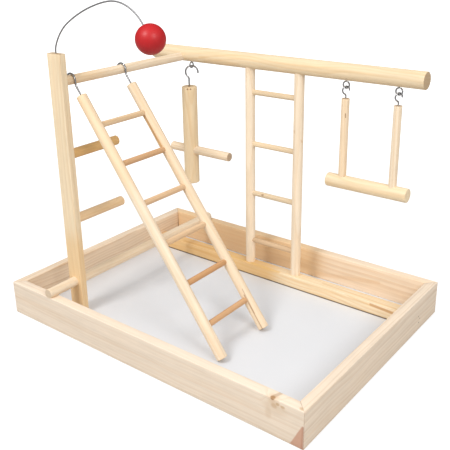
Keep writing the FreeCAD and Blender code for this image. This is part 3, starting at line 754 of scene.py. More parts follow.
def turned_rods_tree():
    """Dowels along straight edges: eased ends, a little out of true, with grain along them.

    Each edge's points carry rod_radius, timber_tone and log_shift.
    """
    tree, t, given = new_tree("turned_rods", [
        ("Stations", "NodeSocketInt", 60), ("Sides", "NodeSocketInt", 40),
        ("Arris", "NodeSocketFloat", 0.0009), ("Waver", "NodeSocketFloat", 0.0002),
        ("Seed", "NodeSocketFloat", 7.0), ("Timber", "NodeSocketMaterial", None)])
    steps = 5
    rods = t.node("GeometryNodeMeshToCurve", {}, {"Mesh": given["Geometry"]})
    rods = t.node("GeometryNodeResampleCurve", {"mode": "COUNT"},
                  {"Curve": rods, "Count": given["Stations"]})
    place = t.node("GeometryNodeSplineParameter", {}, {}, "Index")
    reached = t.node("GeometryNodeSplineParameter", {}, {}, "Length")
    whole = t.node("GeometryNodeSplineLength", {}, {}, "Length")
    heading = t.node("GeometryNodeInputTangent")
    from_end = (given["Stations"] - 1) - place
    nearest = place.least(from_end)
    eased = (nearest / steps).least(1.0) * (math.pi / 2)
    step = (whole - given["Arris"] * 2) / (given["Stations"] - (1 + 2 * steps))
    depth = given["Arris"] * (1 - eased.cosine()) + (nearest - steps).most(0.0) * step
    second_half = place.above(from_end)
    target = depth + second_half * (whole - depth * 2)
    rods = t.node("GeometryNodeSetPosition", {},
                  {"Geometry": rods, "Offset": heading * (target - reached)})
    rods = store(t, rods, "reach", "FLOAT", target)
    rods = store(t, rods, "spine", "FLOAT_VECTOR", t.node("GeometryNodeInputPosition"))
    rods = store(t, rods, "end_grain", "FLOAT", (1 - nearest / steps).most(0.0))
    rods = store(t, rods, "arris", "FLOAT", (1.4 - nearest / steps).most(0.0).least(1.0))
    radius = named(t, "rod_radius", "FLOAT")
    rods = store(t, rods, "rod_size", "FLOAT",
                 radius - given["Arris"] * (1 - eased.sine()))
    ring = t.node("GeometryNodeCurvePrimitiveCircle", {"mode": "RADIUS"},
                  {"Resolution": given["Sides"], "Radius": 1.0})
    ring = store(t, ring, "around", "FLOAT_VECTOR", t.node("GeometryNodeInputPosition"))
    shaped = t.node("GeometryNodeCurveToMesh", {},
                    {"Curve": rods, "Profile Curve": ring,
                     "Scale": named(t, "rod_size", "FLOAT"), "Fill Caps": True})
    around_x, around_y, _ = named(t, "around", "FLOAT_VECTOR").parts()
    size = named(t, "rod_size", "FLOAT")
    reach = named(t, "reach", "FLOAT")
    shift = named(t, "log_shift", "FLOAT_VECTOR")
    grain = t.place(around_x * size, around_y * size, reach) + shift
    shaped = store(t, shaped, "grain_place", "FLOAT_VECTOR", grain)
    at = t.node("GeometryNodeInputPosition")
    spine = named(t, "spine", "FLOAT_VECTOR")
    seeded = named(t, "grain_place", "FLOAT_VECTOR") + t.place(given["Seed"], 0.0, 0.0)
    slow = t.cloud(seeded, (22.0, 22.0, 14.0), 1.0)
    dents = t.cloud(seeded, (160.0, 160.0, 75.0), 1.0).ramp(0.66, 0.80)
    inward = (slow * 0.9 + dents * 0.6) * given["Waver"] / named(t, "rod_size", "FLOAT")
    shaped = t.node("GeometryNodeSetPosition", {},
                    {"Geometry": shaped, "Position": spine + (at - spine) * (1 - inward)})
    side = t.node("FunctionNodeCompare", {"data_type": "FLOAT", "operation": "LESS_THAN"},
                  {"A": named(t, "end_grain", "FLOAT"), "B": 0.98})
    shaped = t.node("GeometryNodeSetShadeSmooth", {"domain": "FACE"},
                    {"Geometry": shaped, "Shade Smooth": side})
    shaped = drop_notes(t, shaped, ("reach", "spine", "rod_size", "around", "rod_radius",
                                    "log_shift"))
    close_tree(t, shaped, given["Timber"])
    return tree


def bent_wires_tree():
    """Round wire along edges, with a screw thread's groove where the points say so."""
    tree, t, given = new_tree("bent_wires", [
        ("Step", "NodeSocketFloat", 0.0006), ("Sides", "NodeSocketInt", 14),
        ("Radius", "NodeSocketFloat", 0.0015), ("Thread pitch", "NodeSocketFloat", 0.0015),
        ("Thread depth", "NodeSocketFloat", 0.0004), ("Seed", "NodeSocketFloat", 7.0),
        ("Metal", "NodeSocketMaterial", None)])
    wires = t.node("GeometryNodeMeshToCurve", {}, {"Mesh": given["Geometry"]})
    wires = t.node("GeometryNodeResampleCurve", {"mode": "LENGTH"},
                   {"Curve": wires, "Length": given["Step"]})
    reached = t.node("GeometryNodeSplineParameter", {}, {}, "Length")
    whole = t.node("GeometryNodeSplineLength", {}, {}, "Length")
    from_end = reached.least(whole - reached)
    blunt = (from_end / (given["Radius"] * 0.6)).least(1.0)
    wires = store(t, wires, "reach", "FLOAT", reached)
    wires = store(t, wires, "spine", "FLOAT_VECTOR", t.node("GeometryNodeInputPosition"))
    wires = store(t, wires, "wire_size", "FLOAT",
                  given["Radius"] * (0.72 + blunt * 0.28))
    ring = t.node("GeometryNodeCurvePrimitiveCircle", {"mode": "RADIUS"},
                  {"Resolution": given["Sides"], "Radius": 1.0})
    index = t.node("GeometryNodeInputIndex")
    ring = store(t, ring, "turn", "FLOAT", index / given["Sides"])
    shaped = t.node("GeometryNodeCurveToMesh", {},
                    {"Curve": wires, "Profile Curve": ring,
                     "Scale": named(t, "wire_size", "FLOAT"), "Fill Caps": True})
    at = t.node("GeometryNodeInputPosition")
    spine = named(t, "spine", "FLOAT_VECTOR")
    climb = (named(t, "reach", "FLOAT") / given["Thread pitch"]
             - named(t, "turn", "FLOAT")).rest()
    groove = (climb - 0.5).size().ramp(0.12, 0.42, 1.0, 0.0) * named(t, "thread", "FLOAT")
    rough = t.cloud(at + t.place(given["Seed"], 0.0, 0.0), 90.0, 1.0)
    inward = (groove * given["Thread depth"] + rough * 0.00004) / given["Radius"]
    shaped = t.node("GeometryNodeSetPosition", {},
                    {"Geometry": shaped, "Position": spine + (at - spine) * (1 - inward)})
    shaped = t.node("GeometryNodeSetShadeSmooth", {"domain": "FACE"},
                    {"Geometry": shaped, "Shade Smooth": True})
    shaped = drop_notes(t, shaped, ("reach", "spine", "wire_size", "turn"))
    close_tree(t, shaped, given["Metal"])
    return tree


def nail_heads_tree():
    """Flat wire-nail heads at points, each tilted a little differently."""
    tree, t, given = new_tree("nail_heads", [
        ("Head radius", "NodeSocketFloat", 0.002), ("Head height", "NodeSocketFloat", 0.0008),
        ("Shank radius", "NodeSocketFloat", 0.001), ("Shank length", "NodeSocketFloat", 0.031),
        ("Seed", "NodeSocketInt", 7), ("Metal", "NodeSocketMaterial", None)])
    head = [(0.0, 0.0), (0.55, 0.02), (0.86, 0.10), (1.0, 0.32), (1.0, 0.78), (0.93, 1.0),
            (0.52, 1.15)]
    shank = [(1.0, 0.95), (0.05, 1.0)]
    line = t.node("GeometryNodeMeshLine", {"mode": "OFFSET", "count_mode": "TOTAL"},
                  {"Count": len(head) + len(shank)})
    index = t.node("GeometryNodeInputIndex")
    radius, depth = None, None
    for number, (r, d) in enumerate(head + shank):
        here = (index - number).size().ramp(0.4, 0.6, 1.0, 0.0)
        part = "Head" if number < len(head) else "Shank"
        reach = given[part + " radius"]
        sink = given["Head height"] if part == "Head" else given["Shank length"]
        radius = here * r * reach if radius is None else radius + here * r * reach
        depth = here * d * sink if depth is None else depth + here * d * sink
    line = t.node("GeometryNodeSetPosition", {},
                  {"Geometry": line, "Position": t.place(0.0, 0.0, depth * -1)})
    line = store(t, line, "nail_size", "FLOAT", radius + 0.00001)
    ring = t.node("GeometryNodeCurvePrimitiveCircle", {"mode": "RADIUS"},
                  {"Resolution": 20, "Radius": 1.0})
    spine = t.node("GeometryNodeMeshToCurve", {}, {"Mesh": line})
    nail = t.node("GeometryNodeCurveToMesh", {},
                  {"Curve": spine, "Profile Curve": ring,
                   "Scale": named(t, "nail_size", "FLOAT"), "Fill Caps": True})
    nail = t.node("GeometryNodeSetShadeSmooth", {"domain": "FACE"},
                  {"Geometry": nail, "Shade Smooth": True})
    tilt = t.node("FunctionNodeRandomValue", {"data_type": "FLOAT_VECTOR"},
                  {"Min": (-0.05, -0.05, -0.05), "Max": (0.05, 0.05, 0.05),
                   "Seed": given["Seed"]})
    facing = named(t, "facing", "FLOAT_VECTOR") + tilt
    turned = t.node("FunctionNodeAlignRotationToVector", {"axis": "Z"}, {"Vector": facing})
    nails = t.node("GeometryNodeInstanceOnPoints", {},
                   {"Points": given["Geometry"], "Instance": nail, "Rotation": turned})
    nails = drop_notes(t, nails, ("nail_size", "facing"))
    close_tree(t, nails, given["Metal"])
    return tree


TREES = {}


def make_trees():
    TREES.update(rods=turned_rods_tree(), wires=bent_wires_tree(), nails=nail_heads_tree())


def log_shift(key):
    """Where in the log a piece was sawn from; always the same for the same piece."""
    dice = random.Random("%s-%d" % (key, sizes().seed))
    angle = dice.uniform(0, 2 * math.pi)
    off_pith = dice.uniform(0.030, 0.075)
    return Vector((off_pith * math.cos(angle), off_pith * math.sin(angle),
                   dice.uniform(0.0, 3.0)))


def turned_rod(name, rods, timber_name, body, slot, tone=0.0, warmth=0.0, arris=None,
               shift=None, fresh=0.0):
    """One wooden piece of one or more dowels; each rod is (node, start, end, radius).

    fresh is how far the cut ends keep the colour of the sides.
    """
    vertices, radii, tones, shifts = [], [], [], []
    for rod in rods:
        node, start, end, radius = rod[:4]
        rod_tone, rod_warmth = rod[4:6] if len(rod) > 4 else (tone, warmth)
        for point in (start, end):
            vertices.append(point)
            radii.append(radius)
            tones.append((rod_tone, rod_warmth, fresh))
            shifts.append(shift or log_shift(node))
    edges = [(2 * i, 2 * i + 1) for i in range(len(rods))]
    piece = mesh_object(name, vertices, edges=edges)
    note_points(piece, "rod_radius", "FLOAT", radii)
    note_points(piece, "timber_tone", "FLOAT_VECTOR", tones)
    note_points(piece, "log_shift", "FLOAT_VECTOR", shifts)
    longest = max((end - start).length for _, start, end, *_ in rods)
    s = sizes()
    grow(piece, TREES["rods"], stations=int(longest / 0.008) + 12, sides=s.rod_sides,
         arris=s.rod_arris if arris is None else arris, waver=s.rod_waver,
         seed=float(s.seed), timber=MATERIALS[timber_name])
    settle(piece, body, slot, *[rod[0] for rod in rods])


def rounded_section(corners, radius):
    """Points round a section of square corners: each eased, long runs cut up.

    Gives (place, rounding), with rounding one on the middle of an eased corner.
    """
    corners = [Vector(corner) for corner in corners]
    count = len(corners)
    turns = []
    for number, corner in enumerate(corners):
        before = (corners[number - 1] - corner).normalized()
        after = (corners[(number + 1) % count] - corner).normalized()
        hollow = before.x * after.y - before.y * after.x < 0
        turns.append((before, after, 0.0001 if hollow else radius, hollow))
    points = []
    for number, corner in enumerate(corners):
        before, after, ease, hollow = turns[number]
        centre = corner + (before + after) * ease
        for step in range(5):
            angle = math.pi / 2 * step / 4
            points.append((centre - after * ease * math.cos(angle) - before * ease * math.sin(angle),
                           0.0 if hollow else math.sin(math.pi * step / 4)))
        start = corner + after * ease
        stop = corners[(number + 1) % count] - after * turns[(number + 1) % count][2]
        pieces = max(1, round((stop - start).length / 0.006))
        points += [(start.lerp(stop, k / pieces), 0.0) for k in range(1, pieces)]
    return points


def sawn_board(name, corners, ends, put, timber_name, body, slot, node, tone=0.0, warmth=0.0,
               draw_in=lambda a: 0.0, shift=None):
    """A board swept along its grain: eased edges, dips, small dents and softened ends.

    put turns section coordinates and a length into a place. draw_in is how much shorter
    each end is at a section place, for a mitre.
    """
    s = sizes()
    section = rounded_section(corners, s.board_arris)
    centre = sum((p for p, _ in section), Vector((0, 0))) / len(section)
    first, last = ends
    half, mid = (last - first) / 2, (last + first) / 2
    ease = 0.0007
    tails = [0.0, ease * 0.25, ease]
    inner = int(2 * half / 0.010)
    stations = [-1 + d / half for d in tails]
    stations += [-1 + (ease + (2 * half - 2 * ease) * k / inner) / half for k in range(1, inner)]
    stations += [1 - d / half for d in reversed(tails)]
    shrink = {0: ease * 0.75, 1: ease * 0.25}
    shift = shift or log_shift(node)
    vertices, grain, tones, ends_mark, arrises = [], [], [], [], []
    total = len(stations)
    for index, share in enumerate(stations):
        from_end = min(index, total - 1 - index)
        inset = shrink.get(from_end, 0.0)
        for point, rounding in section:
            inward = (centre - point).normalized()
            moved = point + inward * inset
            length = mid + share * (half - draw_in(point.x))
            place = put(moved.x, moved.y, length)
            dip = 0.5 + 0.5 * noise.noise(place * 18 + Vector((s.seed, 0, 0)))
            dent = max(0.0, noise.noise(place * 120) - 0.42) * 2.2 * (0.4 + 1.6 * rounding)
            moved = moved + inward * s.board_waver * (dip + dent)
            vertices.append(put(moved.x, moved.y, length))
            grain.append(Vector((point.x, point.y, length)) + shift)
            tones.append((tone, warmth, 0.0))
            ends_mark.append(1.0 if from_end == 0 else (0.5 if from_end == 1 else 0.0))
            arrises.append(rounding)
    around = len(section)
    faces = []
    for row in range(total - 1):
        for col in range(around):
            a, b = row * around + col, row * around + (col + 1) % around
            faces.append((a, b, b + around, a + around))
    caps = [tuple(reversed(range(around))), tuple(range((total - 1) * around, total * around))]
    piece = mesh_object(name, vertices, faces + caps)
    note_points(piece, "grain_place", "FLOAT_VECTOR", grain)
    note_points(piece, "timber_tone", "FLOAT_VECTOR", tones)
    note_points(piece, "end_grain", "FLOAT", ends_mark)
    note_points(piece, "arris", "FLOAT", arrises)
    face_outward(piece)
    piece.data.materials.append(MATERIALS[timber_name])
    settle(piece, body, slot, node)


def face_outward(piece):
    shell = bmesh.new()
    shell.from_mesh(piece.data)
    bmesh.ops.recalc_face_normals(shell, faces=shell.faces)
    for face in shell.faces:
        face.smooth = len(face.verts) <= 4
    shell.to_mesh(piece.data)
    shell.free()


def walk(start, heading, moves, place, step=0.0008):
    """Points of joined lines and tangent arcs in a plane, as (radius, turn) or (0, length)."""
    points = [place(*start)]
    a, b = start
    angle = math.radians(heading)
    for radius, amount in moves:
        if radius == 0:
            a, b = a + amount * math.cos(angle), b + amount * math.sin(angle)
            points.append(place(a, b))
            continue
        turn = math.radians(amount)
        side = math.copysign(1, amount)
        centre = (a - side * radius * math.sin(angle), b + side * radius * math.cos(angle))
        count = max(2, math.ceil(abs(turn) * radius / step))
        for k in range(1, count + 1):
            spoke = angle + turn * k / count - side * math.pi / 2
            a, b = centre[0] + radius * math.cos(spoke), centre[1] + radius * math.sin(spoke)
            points.append(place(a, b))
        angle += turn
    return points


def bent_wire(name, points, radius, body, node, thread=(0.0, 0.0), step=0.0006,
              metal="wire"):
    """A wire along points; thread is how much of its start and end is threaded."""
    lengths = [0.0]
    for before, after in zip(points, points[1:]):
        lengths.append(lengths[-1] + (after - before).length)
    total = lengths[-1]
    marks = []
    dense = [points[0]]
    reached = [0.0]
    for before, after, start in zip(points, points[1:], lengths):
        run = (after - before).length
        pieces = max(1, round(run / 0.001))
        for k in range(1, pieces + 1):
            dense.append(before.lerp(after, k / pieces))
            reached.append(start + run * k / pieces)
    for length in reached:
        threaded = (length < thread[0]) or (total - length < thread[1])
        marks.append(1.0 if threaded else 0.0)
    piece = mesh_object(name, dense, edges=[(i, i + 1) for i in range(len(dense) - 1)])
    note_points(piece, "thread", "FLOAT", marks)
    s = sizes()
    grow(piece, TREES["wires"], step=step, sides=s.wire_sides, radius=radius,
         thread_pitch=s.thread_pitch, thread_depth=s.thread_depth, seed=float(s.seed),
         metal=MATERIALS[metal])
    settle(piece, body, "steel_wire", node)


# ---------------------------------------------------------------- the stand's pieces

def build_tray():
    half_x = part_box("tray_right_wall")[1].x
    half_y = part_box("tray_back_wall")[1].y
    height = span("tray_front_wall").z
    foot_width = WALL_THICKNESS - PANEL_STEP_WIDTH
    section = [(0, 0), (0, height), (WALL_THICKNESS, height),
               (WALL_THICKNESS, PANEL_STEP_HEIGHT), (foot_width, PANEL_STEP_HEIGHT),
               (foot_width, 0)]
    walls = {
        "front": (half_x, lambda a, b, w: Vector((w, -half_y + a, b)), "tray_front", 0.0, 0.0,
                  Vector((0.020, -0.085, 0.4))),
        "back": (half_x, lambda a, b, w: Vector((-w, half_y - a, b)), "tray_back", 0.20, 0.14,
                 Vector((0.026, 0.050, 1.3))),
        "left": (half_y, lambda a, b, w: Vector((-half_x + a, -w, b)), "tray_left", -0.10, 0.16,
                 Vector((0.060, 0.030, 2.2))),
        "right": (half_y, lambda a, b, w: Vector((half_x - a, w, b)), "tray_side", 0.0, 0.04,
                  Vector((0.045, -0.060, 0.9))),
    }
    for side, (half, put, wood, tone, warmth, shift) in walls.items():
        node = "tray_%s_wall" % side
        sawn_board(node + "_board", section, (-half, half), put, wood, "stand", "tray_pine",
                   node, tone, warmth, draw_in=lambda a: a, shift=shift)


def build_strip():
    low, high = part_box("base_strip")
    section = [(low.y, low.z), (low.y, high.z), (high.y, high.z), (high.y, low.z)]
    sawn_board("base_strip_board", section, (low.x, high.x),
               lambda a, b, w: Vector((w, a, b)), "strip", "stand", "strip_pine",
               "base_strip", shift=Vector((0.012, -0.100, 0.2)))


def build_post():
    low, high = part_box("tall_post")
    section = [(low.x, low.y), (low.x, high.y), (high.x, high.y), (high.x, low.y)]
    sawn_board("tall_post_board", section, (low.z, high.z),
               lambda a, b, w: Vector((a, b, w)), "post", "stand", "post_pine",
               "tall_post", shift=Vector((0.215, 0.180, 0.0)))


def straight(node, axis, *tint):
    start, end, radius = on_axis(node, axis)
    return (node, start, end, radius, *tint)


def build_perches():
    turned_rod("foot_perch_rod", [straight("foot_perch", 1)], "rail", "stand", "rail_dowel",
               tone=-0.25, warmth=0.10, fresh=0.6)
    turned_rod("top_perch_rod", [straight("top_perch", 1)], "rail", "stand", "rail_dowel",
               tone=-0.25, warmth=0.08)
    turned_rod("upper_side_perch_rod", [straight("upper_side_perch", 1)], "rail", "stand",
               "rail_dowel", tone=-0.60, warmth=0.95, fresh=0.8)
    turned_rod("lower_side_perch_rod", [straight("lower_side_perch", 1)], "rail", "stand",
               "rail_dowel", tone=-0.15, warmth=0.56, fresh=0.8)


def build_beam():
    turned_rod("main_beam_rod", [straight("main_beam", 0)], "beam", "stand", "beam_dowel",
               tone=-0.20, warmth=0.04, shift=Vector((0.004, 0.030, 0.7)))


def build_standing_ladder():
    for side, tone in (("left", 0.10), ("right", 0.05)):
        node = "standing_ladder_%s_rail" % side
        turned_rod(node + "_rod", [straight(node, 2)], "rail", "stand", "rail_dowel",
                   tone=tone)
    tints = [(-0.55, 0.42), (-0.50, 0.04), (-0.25, 0.0), (-0.50, 0.06)]
    rungs = [straight("standing_ladder_rung_%d" % (k + 1), 0, *tints[k]) for k in range(4)]
    turned_rod("standing_ladder_rungs", rungs, "rung", "stand", "rung_dowel", arris=0.0004)


def build_leaning_ladder():
    for side, tone, warmth in (("front", 0.0, 0.04), ("back", -0.10, 0.20)):
        node = "leaning_ladder_%s_rail" % side
        top, foot = leaning_rail_ends(node)
        turned_rod(node + "_rod", [(node, top, foot, RAIL_RADIUS)], "rail", "leaning_ladder",
                   "rail_dowel", tone, warmth)
    tints = [(-0.10, 0.26), (-0.10, 0.70), (0.0, 0.48), (0.0, 0.42), (-0.10, 0.82),
             (0.0, 0.74)]
    rungs = [straight("leaning_ladder_rung_%d" % (k + 1), 1, *tints[k]) for k in range(6)]
    turned_rod("leaning_ladder_rungs", rungs, "rung", "leaning_ladder", "rung_dowel",
               arris=0.0004)


def build_swing():
    turned_rod("swing_left_rod_wood", [straight("swing_left_rod", 2)], "rail", "swing",
               "rail_dowel", tone=-0.05, warmth=0.22)
    turned_rod("swing_right_rod_wood", [straight("swing_right_rod", 2)], "rail", "swing",
               "rail_dowel", tone=0.02, warmth=0.02)
    turned_rod("swing_perch_rod", [straight("swing_perch", 0)], "beam", "swing", "beam_dowel",
               fresh=1.0)


def build_hanging_bar():
    turned_rod("hanging_bar_rod", [straight("hanging_bar", 2)], "beam", "hanging_bar_set",
               "beam_dowel", tone=-0.15, warmth=0.12, arris=0.0024, fresh=0.6)
    turned_rod("cross_perch_rod", [straight("cross_perch", 0)], "rail", "hanging_bar_set",
               "rail_dowel", tone=-0.15, warmth=0.14)


# ---------------------------------------------------------------- wire

def build_ladder_hooks():
    """From inside the rail's top, along the rail, up beside the perch and over it."""
    perch = middle("top_perch")
    reach = span("top_perch").x / 2 + HOOK_GAP + LADDER_HOOK_WIRE
    for side in ("front", "back"):
        top, _ = leaning_rail_ends("leaning_ladder_%s_rail" % side)
        bend, embed, sweep = 0.012, 0.018, 165.0
        straight_run = (top.x - perch.x - reach - bend * (1 - math.sin(LEAN))) / math.cos(LEAN)
        rise = perch.z - top.z - straight_run * math.sin(LEAN) - bend * math.cos(LEAN)
        start = top + DOWN_SLOPE * embed
        degrees = math.degrees(LEAN)
        points = walk((start.x, start.z), 180 - degrees,
                      [(0, embed + straight_run), (bend, degrees - 90), (0, rise),
                       (reach, sweep)],
                      lambda a, b, y=top.y: Vector((a, y, b)))
        node = "leaning_ladder_%s_hook" % side
        bent_wire(node + "_wire", points, LADDER_HOOK_WIRE, "leaning_ladder", node,
                  thread=(embed + straight_run * 0.85, 0.0))


def open_hook(centre, radius, back_radius, stem_offset, stem_end, place):
    """An open hook: its tip, over the crown, round to a return bend and down a stem."""
    joined = radius + back_radius
    back_a = stem_offset - back_radius
    back_b = -math.sqrt(joined ** 2 - back_a ** 2)
    spoke = math.degrees(math.atan2(back_b, back_a)) % 360
    start = (centre[0] + radius * math.cos(math.radians(HOOK_TIP)),
             centre[1] + radius * math.sin(math.radians(HOOK_TIP)))
    stem = centre[1] + back_b - stem_end
    moves = [(radius, spoke - HOOK_TIP), (back_radius, 180 - spoke), (0, stem)]
    return walk(start, HOOK_TIP + 90, moves, place)


def screw_eye(node, ring_axis):
    """A wire ring under the beam, its shank bent up into the wood and threaded."""
    low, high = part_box(node)
    wire = EYE_WIRE
    across = (high.x - low.x) if ring_axis == "y" else (high.y - low.y)
    ring = across / 2 - wire
    centre = Vector(((low.x + high.x) / 2, (low.y + high.y) / 2, low.z + wire + ring))
    beside = X_AXIS if ring_axis == "y" else Y_AXIS
    shank = high.z - centre.z - ring
    gap = math.degrees(1.3 * wire / ring)
    points = walk((0.0, ring + shank - wire * 0.2), -90, [(0, shank - wire * 0.2)],
                  lambda a, b: centre + beside * a + Z_AXIS * b)
    ring_points = walk((0.0, ring), 180, [(ring, 360 - gap)],
                       lambda a, b: centre + beside * a + Z_AXIS * b)
    bent_wire(node + "_wire", points + ring_points[1:], wire, "stand", node,
              thread=(shank - 0.0015, 0.0))


def build_eyes():
    screw_eye("hanging_bar_eye", "x")
    screw_eye("swing_left_eye", "y")
    screw_eye("swing_right_eye", "y")


def build_swing_hooks():
    beam_y = middle("main_beam").y
    for side in ("left", "right"):
        node = "swing_%s_hook" % side
        low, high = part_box(node)
        x = middle("swing_%s_rod" % side).x
        wire, radius, back = SWING_HOOK_WIRE, 0.0057, 0.0030
        points = open_hook((0.0, high.z - wire - radius), radius, back, 0.0, low.z,
                           lambda a, b, x=x: Vector((x + a * math.sin(HOOK_TURN),
                                                     beam_y + a * math.cos(HOOK_TURN), b)))
        rod_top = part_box("swing_%s_rod" % side)[1].z
        bent_wire(node + "_wire", points, wire, "swing", node,
                  thread=(0.0, rod_top - low.z + 0.003))


def build_hanging_hook():
    node = "hanging_bar_hook"
    low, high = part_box(node)
    bar_x = middle("hanging_bar").x
    eye_x = middle("hanging_bar_eye").x
    wire, radius, back = BAR_HOOK_WIRE, 0.0105, 0.0060
    beam_y = middle("main_beam").y
    stem_offset = (bar_x - eye_x) / math.cos(HOOK_TURN)
    points = open_hook((0.0, high.z - wire - radius), radius, back, stem_offset, low.z,
                       lambda a, b: Vector((eye_x + a * math.cos(HOOK_TURN),
                                            beam_y + a * math.sin(HOOK_TURN), b)))
    bar_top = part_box("hanging_bar")[1].z
    bent_wire(node + "_wire", points, wire, "hanging_bar_set", node,
              thread=(0.0, bar_top - low.z + 0.003))


def build_ball_arm():
    node = "ball_arm_wire"
    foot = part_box(node)[0].z
    post_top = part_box("tall_post")[1].z
    post = middle("tall_post")
    radii = (0.022, 0.078, 0.230, 0.118, 0.061)
    turns = (26.5, 31.5, 18.5, 6.5, 62.5)
    moves = [(0, post_top + 0.002 - foot)] + [(r, -turn) for r, turn in zip(radii, turns)]
    moves.append((0, 0.019))
    points = walk((post.x, foot), 90, moves, lambda a, b: Vector((a, post.y, b)))
    bent_wire(node + "_wire", points, ARM_WIRE, "ball_arm", node, step=0.002, metal="arm")


def build_ball():
    """A turned ball with a drilled mouth for the wire and lacquer gathered round it."""
    centre = middle("red_ball")
    radius = span("red_ball").z / 2
    entry = Vector((-0.42, 0.0, 0.907)).normalized()
    turn = entry.to_track_quat("Z", "Y").to_matrix()
    profile = [(0.0, radius - 0.0042), (0.0016, radius - 0.0042), (0.0017, radius - 0.0012),
               (0.0021, radius - 0.00035), (0.0027, radius - 0.0001),
               (0.0034, radius - 0.00032)]
    start = math.asin(0.0042 / radius)
    rows = 56
    profile += [(radius * math.sin(start + (math.pi - start) * k / rows),
                 radius * math.cos(start + (math.pi - start) * k / rows))
                for k in range(rows)]
    around = 72
    vertices, faces = [], []
    for r, z in profile[1:]:
        for k in range(around):
            angle = 2 * math.pi * k / around
            vertices.append(centre + turn @ Vector((r * math.cos(angle), r * math.sin(angle), z)))
    top = len(vertices)
    vertices.append(centre + turn @ Vector((0, 0, profile[0][1])))
    vertices.append(centre + turn @ Vector((0, 0, -radius)))
    count = len(profile) - 1
    for row in range(count - 1):
        for k in range(around):
            a, b = row * around + k, row * around + (k + 1) % around
            faces.append((a, a + around, b + around, b))
    for k in range(around):
        faces.append((top, k, (k + 1) % around))
        faces.append((top + 1, (count - 1) * around + (k + 1) % around,
                      (count - 1) * around + k))
    piece = mesh_object("red_ball_lacquered", vertices, faces)
    face_outward(piece)
    piece.data.materials.append(MATERIALS["lacquer"])
    settle(piece, "ball_arm", "red_lacquer", "red_ball")


# ---------------------------------------------------------------- fasteners and panel

def build_fasteners():
    """Nail heads in the mitred corners; pins and screws keep their own shapes."""
    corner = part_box("corner_nails")[1].x, middle("tray_back_wall").y
    points, facing = [], []
    for side_x in (-1, 1):
        for side_y in (-1, 1):
            for height in NAIL_HEIGHTS:
                points.append((side_x * (corner[0] - 0.00005), side_y * corner[1], height))
                facing.append((side_x, 0.0, 0.0))
    piece = mesh_object("corner_nail_heads", points)
    note_points(piece, "facing", "FLOAT_VECTOR", facing)
    grow(piece, TREES["nails"], seed=sizes().seed, metal=MATERIALS["nail"])
    settle(piece, "stand", "nail_steel", "corner_nails")
    for node, finish in (("panel_pins", "nail"), ("foot_perch_pins", "nail"),
                         ("post_screws", "screw"), ("base_strip_screws", "screw"),
                         ("floor_panel", "panel")):
        paint_node(node, MATERIALS[finish])


def paint_node(node, material):
    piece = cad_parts[node]
    if not piece.material_slots:
        piece.data.materials.append(None)
    for holder in piece.material_slots:
        holder.link = "OBJECT"
        holder.material = material


# ---------------------------------------------------------------- stage

def lamp(name, power, aim, width, azimuth, elevation, distance):
    data = bpy.data.lights.new(name, "AREA")
    data.shape = "DISK"
    data.size = width
    data.energy = power
    light = bpy.data.objects.new(name, data)
    a, e = math.radians(azimuth), math.radians(elevation)
    away = Vector((math.sin(a) * math.cos(e), -math.cos(a) * math.cos(e), math.sin(e)))
    light.location = aim + away * distance
    light.rotation_mode = "QUATERNION"
    light.rotation_quaternion = (-away).to_track_quat("-Z", "Y")
    bpy.context.scene.collection.objects.link(light)


def stage_world(strength):
    world = bpy.data.worlds.new("studio")
    world.use_nodes = True
    layout = Layout(world.node_tree)
    world.node_tree.nodes.clear()
    seen = layout.node("ShaderNodeLightPath", {}, {}, "Is Camera Ray")
    glossy = layout.node("ShaderNodeLightPath", {}, {}, "Is Glossy Ray")
    passed = layout.node("ShaderNodeLightPath", {}, {}, "Is Transmission Ray")
    toward_front = layout.node("ShaderNodeTexCoord", {}, {}, "Generated").dot((0.58, -0.74, 0.34))
    mirrored = toward_front.ramp(-0.5, 0.95, 0.08, 0.80)
    white = seen.most(passed)
    level = white + (1 - white) * (glossy * mirrored + (1 - glossy) * strength)
    sky = layout.node("ShaderNodeBackground", {}, {"Color": (1.0, 1.0, 1.0), "Strength": level})
    layout.node("ShaderNodeOutputWorld", {}, {"Surface": sky})
    bpy.context.scene.world = world


def stage_floor():
    """A wide pale floor that keeps a faint shadow near the stand and ends in white."""
    reach = 60.0
    floor = mesh_object("studio_floor", [(x * reach, y * reach, -0.0004) for x, y in
                                         ((-1, -1), (1, -1), (1, 1), (-1, 1))], [(0, 1, 2, 3)])
    finish = Finish("studio_floor_white")
    finish.set(Base_Color=(0.46, 0.46, 0.46), Roughness=0.9, Specular_IOR_Level=0.0)
    lit = Flow(finish, finish.shader.outputs[0])
    seen = finish.node("ShaderNodeLightPath", {}, {}, "Is Camera Ray")
    glow = finish.where().length().ramp(0.45, 1.6, 0.66, 1.0)
    white = finish.node("ShaderNodeEmission", {}, {"Color": (1.0, 1.0, 1.0),
                                                   "Strength": seen * glow})
    both = finish.node("ShaderNodeAddShader", {}, {0: lit, 1: white})
    end = next(n for n in finish.tree.nodes if n.type == "OUTPUT_MATERIAL")
    finish.tree.links.new(both.socket, end.inputs["Surface"])
    floor.data.materials.append(finish.material)


